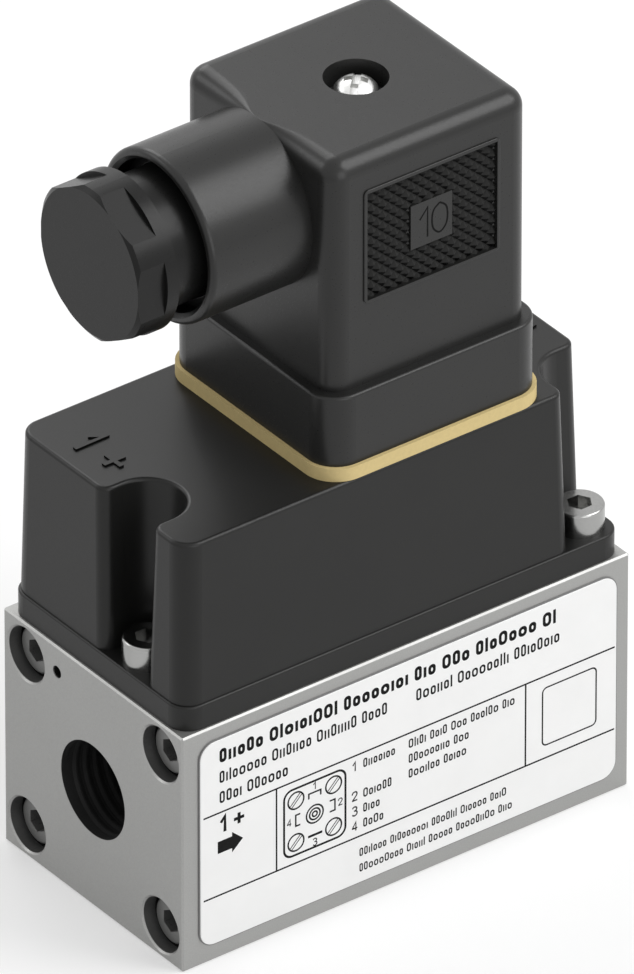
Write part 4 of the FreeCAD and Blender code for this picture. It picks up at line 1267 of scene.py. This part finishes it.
@dataclass(frozen=True)
class Bore:
    """A hole along X; places in it are given by the depth below its mouth."""

    mouth: float
    y: float
    z: float
    inward: int = 1

    def point(self, depth: float, radius: float, turn: float) -> Vector:
        """Give a place at an angle round the hole's axis."""
        y, z = self.y + radius * math.cos(turn), self.z + radius * math.sin(turn)
        return Vector((self.mouth + self.inward * depth, y, z)) * MM

    def ring(
        self, shape: bmesh.types.BMesh, depth: float, radius: float, steps: int
    ) -> list[bmesh.types.BMVert]:
        """Add a circle of corners.

        Args:
            shape: The geometry to add to.
            depth: Its depth.
            radius: Its radius.
            steps: Number of corners.

        Returns:
            The new corners.
        """
        turns = [2 * math.pi * i / steps for i in range(steps)]
        return [shape.verts.new(self.point(depth, radius, turn)) for turn in turns]

    def line(
        self, shape: bmesh.types.BMesh, profile: Sequence[Point2], steps: int = 48
    ) -> None:
        """Add a ring with a closed section.

        Args:
            shape: The geometry to add to.
            profile: The section, as pairs of depth and radius.
            steps: Sides of the round.
        """
        rings = [self.ring(shape, depth, radius, steps) for depth, radius in profile]
        skin(shape, rings, True)

    def disc(
        self, shape: bmesh.types.BMesh, start: float, end: float, radius: float, steps: int = 48
    ) -> None:
        """Add a closed disc between two depths.

        Args:
            shape: The geometry to add to.
            start: Depth of its near face.
            end: Depth of its far face.
            radius: Its radius.
            steps: Sides of the round.
        """
        rings = [self.ring(shape, depth, radius, steps) for depth in (start, end)]
        skin(shape, rings, False)
        shape.faces.new(rings[0])
        shape.faces.new(list(reversed(rings[1])))


@dataclass
class RoofEdge:
    """Skin on the connector's rounded roof edge, which swings in to the barrel's top line."""

    left: float = -8.099
    top: float = 91.999
    reach: float = 2.35
    arc_steps: int = 18
    swing_steps: int = 6
    swing: tuple[Point2, ...] = (
        (0.0, 0.05),
        (1.6, 0.5),
        (3.2, 1.16),
        (4.8, 1.66),
        (6.4, 1.95),
        (8.0, 2.11),
        (9.6, 2.185),
        (10.4, 2.195),
    )

    def build(self, look: bpy.types.Material) -> None:
        """Sweep the edge from one end of the barrel's side to the other.

        Args:
            look: The connector's material.
        """
        half = smooth(self.swing, self.swing_steps)
        stations = [(-y, radius) for y, radius in reversed(half[1:])] + half
        shape = bmesh.new()
        rings = [self._section(shape, y, radius) for y, radius in stations]
        skin(shape, rings, False)
        shape.faces.new(rings[0])
        shape.faces.new(list(reversed(rings[-1])))
        for face in shape.faces:
            face.smooth = True
        # The section's square corners and both end faces keep sharp edges.
        for first, second in zip(rings, rings[1:]):
            for corner in (0, -1, -2):
                shape.edges.get((first[corner], second[corner])).smooth = False
        for ring in (rings[0], rings[-1]):
            for start, end in zip(ring, ring[1:] + ring[:1]):
                shape.edges.get((start, end)).smooth = False
        add_piece("roof_edge", shape, look, Body.CONNECTOR)

    def _section(
        self, shape: bmesh.types.BMesh, y: float, radius: float
    ) -> list[bmesh.types.BMVert]:
        """Add the closed section of the skin at one place along the edge.

        Args:
            shape: The geometry to add to.
            y: The place.
            radius: Radius of the edge there.

        Returns:
            The section's corners.
        """
        inner, low = self.left + self.reach, self.top - self.reach
        outline = [(inner, self.top)]
        for step in range(self.arc_steps + 1):
            turn = math.pi / 2 * (1 + step / self.arc_steps)
            x = self.left + radius * (1 + math.cos(turn))
            outline.append((x, self.top - radius * (1 - math.sin(turn))))
        outline += [(self.left, low), (inner, low)]
        return [shape.verts.new(Vector((x, y, z)) * MM) for x, z in outline]


@dataclass
class PressurePorts:
    """Sharp mouth of both pressure ports and the shallow thread that winds down their wall, which
    is near black with painted shade in the bore.
    """

    mouth: Tube = Tube(0.002, 0.32, 6.06, 5.7225)
    wall: Tube = Tube(0.03, 13.4, 5.7195, 5.6925)
    sides: int = 96
    root: float = 5.7075
    crest: float = 5.6
    pitch: float = 1.337
    root_share: float = 0.42
    tip_share: float = 0.07
    run_in: float = 0.6
    fade_steps: int = 12
    least_fade: float = 0.05

    def build(self, metal: bpy.types.Material) -> None:
        """Make the mouth and the threaded wall of both ports.

        Args:
            metal: The block's material.
        """
        # The threaded wall carries painted shade: near black, as the deep bore looks in shade.
        look = THREAD_SHADE.build()
        for place, side in (("left", -1), ("right", 1)):
            port = Bore(side * BLOCK_HALF_LENGTH, 0.0, BLOCK_MIDDLE_Z, -side)
            mouth, wall = bmesh.new(), bmesh.new()
            port.line(mouth, self.mouth.profile, self.sides)
            add_piece(f"port_mouth_{place}", mouth, metal, Body.TRANSMITTER)
            port.line(wall, self.wall.profile, self.sides)
            self._ridge(wall, port)
            add_piece(f"port_thread_{place}", wall, look, Body.TRANSMITTER)

    def _ridge(self, shape: bmesh.types.BMesh, port: Bore) -> None:
        """Wind the ridge from the mouth to the end of the thread.

        Args:
            shape: The geometry to add to.
            port: The port's hole.
        """
        travel = self.wall.end - self.wall.start - 2 * self.run_in
        count = int(travel / self.pitch * self.sides)
        half, tip = self.pitch * self.root_share, self.pitch * self.tip_share
        rings = []
        for i in range(count + 1):
            depth = self.wall.start + self.run_in + travel * i / count
            fade = min(1.0, i / self.fade_steps, (count - i) / self.fade_steps)
            crest = self.root - (self.root - self.crest) * max(fade, self.least_fade)
            turn = 2 * math.pi * i / self.sides
            profile = (
                (depth - half, self.root),
                (depth - tip, crest),
                (depth + tip, crest),
                (depth + half, self.root),
            )
            rings.append([shape.verts.new(port.point(*place, turn)) for place in profile])
        skin(shape, rings, False)
        shape.faces.new(rings[0])
        shape.faces.new(list(reversed(rings[-1])))


@dataclass
class DrilledWalls:
    """Linings of the counterbores, the screws' sockets and the vent on the first end face, darker
    than the block as painted shade.
    """

    screw_y: float = 12.0
    screw_rise: float = 11.0
    wall: Tube = Tube(0.23, 4.35, 3.245, 3.22)
    shade: Tube = Tube(1.75, 4.33, 3.23, 3.19)
    seat: Tube = Tube(4.25, 4.32, 3.2, 2.78)
    vent_y: float = 6.35
    vent_z: float = 26.8
    vent: Tube = Tube(0.12, 4.0, 0.728, 0.7)
    vent_end: tuple[float, float, float] = (3.9, 4.0, 0.72)
    socket_flats: float = 2.5
    socket: Point2 = (1.44, 2.995)
    gap: float = 0.005
    skin: float = 0.03

    def build(self) -> None:
        """Make the walls, the near-black painted shade at the seats and in the vent, and the
        sockets' linings.
        """
        wall, seat, socket = bmesh.new(), bmesh.new(), bmesh.new()
        for side in (-1, 1):
            for rise in (-1, 1):
                z = BLOCK_MIDDLE_Z + rise * self.screw_rise
                bore = Bore(-BLOCK_HALF_LENGTH, side * self.screw_y, z)
                bore.line(wall, self.wall.profile)
                bore.line(seat, self.shade.profile)
                bore.line(seat, self.seat.profile)
                self._line_socket(socket, bore)
        # Painted shade: the vent is lined and closed in near black, as its deep hole looks in
        # shade.
        vent = Bore(-BLOCK_HALF_LENGTH, self.vent_y, self.vent_z)
        vent.line(seat, self.vent.profile)
        vent.disc(seat, *self.vent_end)
        for name, shape, finish, slot in (
            ("counterbore_walls", wall, BORE_METAL_SHADE, "block_metal"),
            ("bore_seat_shade", seat, SEAT_SHADE, "block_metal"),
            ("socket_linings", socket, SOCKET_SHADE, "screw_steel"),
        ):
            add_piece(name, shape, finish.build(), Body.TRANSMITTER)

    def _line_socket(self, shape: bmesh.types.BMesh, bore: Bore) -> None:
        """Line the six walls and the floor of one screw's socket.

        Args:
            shape: The geometry to add to.
            bore: The counterbore that the screw sits in.
        """
        start, end = self.socket
        corner = self.socket_flats / math.sqrt(3) - self.gap
        inner = corner - self.skin
        turns = [math.radians(30 + 60 * side) for side in range(6)]
        rings = []
        for depth, radius in (
            (start, corner),
            (start, inner),
            (end - self.skin, inner),
            (end, corner),
        ):
            rings.append([shape.verts.new(bore.point(depth, radius, turn)) for turn in turns])
        skin(shape, rings, True)
        shape.faces.new(rings[2])
        shape.faces.new(list(reversed(rings[3])))


@dataclass
class BarrelMouth:
    """Wall and step of the cable barrel's mouth, behind its rim, near black with painted shade."""

    end: float = -21.3
    sides: int = 96
    section: tuple[Point2, ...] = (
        (0.5, 8.696),
        (0.5, 8.666),
        (2.366, 8.666),
        (2.366, 7.72),
        (2.396, 7.72),
        (2.396, 8.696),
    )

    def build(self) -> None:
        """Line the mouth with a ring of angled section."""
        shape = bmesh.new()
        Bore(self.end, 0.0, BARREL_Z).line(shape, self.section, self.sides)
        # Painted shade: the lining is near black, as the mouth's inner wall looks in shade.
        add_piece("mouth_wall", shape, PAINTED_SHADE.build(), Body.CONNECTOR)


def seen_rays(tree: bpy.types.NodeTree) -> bpy.types.NodeSocket:
    """Give 1 for what the camera sees directly, in reflections or through glass, else 0.

    Args:
        tree: The node tree to add to.

    Returns:
        The socket with the result.
    """
    path = tree.nodes.new("ShaderNodeLightPath")
    either = path.outputs["Is Camera Ray"]
    for ray in ("Is Glossy Ray", "Is Transmission Ray"):
        node = tree.nodes.new("ShaderNodeMath")
        node.operation = "MAXIMUM"
        tree.links.new(either, node.inputs[0])
        tree.links.new(path.outputs[ray], node.inputs[1])
        either = node.outputs[0]
    return either


@dataclass(frozen=True)
class Lamp:
    """Soft square lamp that faces the object; way is the direction from there to the lamp."""

    name: str
    way: Way
    far: float
    size: float
    power: float
    aim: float = 45.0 * MM

    def hang(self) -> None:
        """Add the lamp to the scene."""
        data = bpy.data.lights.new(self.name, "AREA")
        data.shape = "SQUARE"
        data.size = self.size
        data.energy = self.power
        lamp = bpy.data.objects.new(self.name, data)
        direction = Vector(self.way).normalized()
        lamp.location = Vector((0, 0, self.aim)) + direction * self.far
        lamp.rotation_euler = direction.to_track_quat("Z", "Y").to_euler()
        bpy.context.scene.collection.objects.link(lamp)


@dataclass
class Studio:
    """Pale floor, soft light and the camera of the photograph."""

    azimuth: float = -36.98
    elevation: float = 33.29
    lens: float = 1000.0
    depth: float = 22.0 * MM
    sensor: float = 36.0
    view_height: float = 104.3 * MM
    rise: float = 35.06 * MM
    shift: float = 0.018 * MM
    clip: Point2 = (0.05, 20.0)
    floor_half: float = 2.5
    paper: Colour = (0.62, 0.62, 0.62)
    paper_grain: float = 0.4
    lift: float = 0.36
    sky: float = 0.5
    lamps: tuple[Lamp, ...] = (
        Lamp("key", (0.50, -0.46, 0.73), 0.62, 0.42, 2.4),
        Lamp("back", (0.15, 0.75, 0.62), 0.7, 0.4, 1.4),
        Lamp("front", (-0.1, -0.95, 0.25), 0.9, 0.6, 1.9),
        Lamp("rim", (-0.54, 0.67, 0.49), 0.7, 0.25, 0.5),
    )

    def build(self) -> None:
        """Make the floor, the world, the lamps and the camera."""
        self._floor()
        self._world()
        for lamp in self.lamps:
            lamp.hang()
        self._camera()

    def _floor(self) -> None:
        """Lay the floor that the object stands on."""
        half = self.floor_half
        mesh = bpy.data.meshes.new("floor")
        ends = [(-half, -half, 0), (half, -half, 0), (half, half, 0), (-half, half, 0)]
        mesh.from_pydata(ends, [], [(0, 1, 2, 3)])
        graph = Graph("floor_paper")
        grain = graph.noise(self.paper_grain, 2.0)
        graph.tints(grain, ((0.3, shade(self.paper, 0.99)), (0.7, shade(self.paper, 1.01))))
        graph.set(Roughness=0.9, Specular_IOR_Level=0.0)
        self._lift_floor(graph)
        mesh.materials.append(graph.material)
        floor = bpy.data.objects.new("floor", mesh)
        bpy.context.scene.collection.objects.link(floor)

    def _lift_floor(self, graph: Graph) -> None:
        """Show the floor a little whiter to the camera and in reflections, its shadow kept.

        Args:
            graph: The floor's material.
        """
        glow = graph.add("ShaderNodeEmission")
        dark = graph.add("ShaderNodeEmission")
        glow.inputs["Strength"].default_value = self.lift
        dark.inputs["Strength"].default_value = 0.0
        shown = graph.add("ShaderNodeMixShader")
        graph.join(seen_rays(graph.tree), shown.inputs[0])
        graph.join(dark.outputs[0], shown.inputs[1])
        graph.join(glow.outputs[0], shown.inputs[2])
        total = graph.add("ShaderNodeAddShader")
        graph.join(graph.shader.outputs["BSDF"], total.inputs[0])
        graph.join(shown.outputs[0], total.inputs[1])
        graph.join(total.outputs[0], graph.output.inputs["Surface"])

    def _world(self) -> None:
        """Light the scene from all round, and show white to the camera and in reflections."""
        world = bpy.data.worlds.new("studio")
        bpy.context.scene.world = world
        world.use_nodes = True
        tree = world.node_tree
        tree.nodes.clear()
        output = tree.nodes.new("ShaderNodeOutputWorld")
        light = tree.nodes.new("ShaderNodeBackground")
        seen = tree.nodes.new("ShaderNodeBackground")
        for node, strength in ((light, self.sky), (seen, 1.0)):
            node.inputs["Strength"].default_value = strength
            node.inputs["Color"].default_value = (1, 1, 1, 1)
        mix = tree.nodes.new("ShaderNodeMixShader")
        tree.links.new(seen_rays(tree), mix.inputs[0])
        tree.links.new(light.outputs[0], mix.inputs[1])
        tree.links.new(seen.outputs[0], mix.inputs[2])
        tree.links.new(mix.outputs[0], output.inputs["Surface"])

    def _camera(self) -> None:
        """Set the camera at the photograph's angle and distance."""
        turn, tilt = math.radians(-self.azimuth), math.radians(self.elevation)
        flat, steep = math.cos(tilt), math.sin(tilt)
        back = Vector((-math.sin(turn) * flat, -math.cos(turn) * flat, steep))
        up = Vector((math.sin(turn) * steep, math.cos(turn) * steep, flat))
        right = Vector((math.cos(turn), -math.sin(turn), 0))
        data = bpy.data.cameras.new("camera")
        data.lens = self.lens
        data.sensor_width = self.sensor
        data.clip_start, data.clip_end = self.clip
        camera = bpy.data.objects.new("camera", data)
        distance = self.view_height * self.lens / self.sensor + self.depth
        target = up * self.rise + right * self.shift
        camera.location = target + back * distance
        camera.rotation_euler = back.to_track_quat("Z", "Y").to_euler()
        bpy.context.scene.collection.objects.link(camera)
        bpy.context.scene.camera = camera


def main() -> None:
    """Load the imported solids, dress them and build what they lack."""
    logging.basicConfig(level=logging.INFO, format="%(name)s: %(message)s")
    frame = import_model()
    bpy.context.scene.view_settings.view_transform = "Standard"
    looks = {finish.slot: finish.build() for finish in FINISHES}
    dress_nodes(frame["nodes"], looks)
    RatingLabel().build(looks)
    PortSigns().build(looks)
    BadgeNumber().build()
    GripTeeth().build()
    RoofEdge().build(looks["connector_plastic"])
    PressurePorts().build(looks["block_metal"])
    DrilledWalls().build()
    BarrelMouth().build()
    Studio().build()


if __name__ == "__main__":
    main()
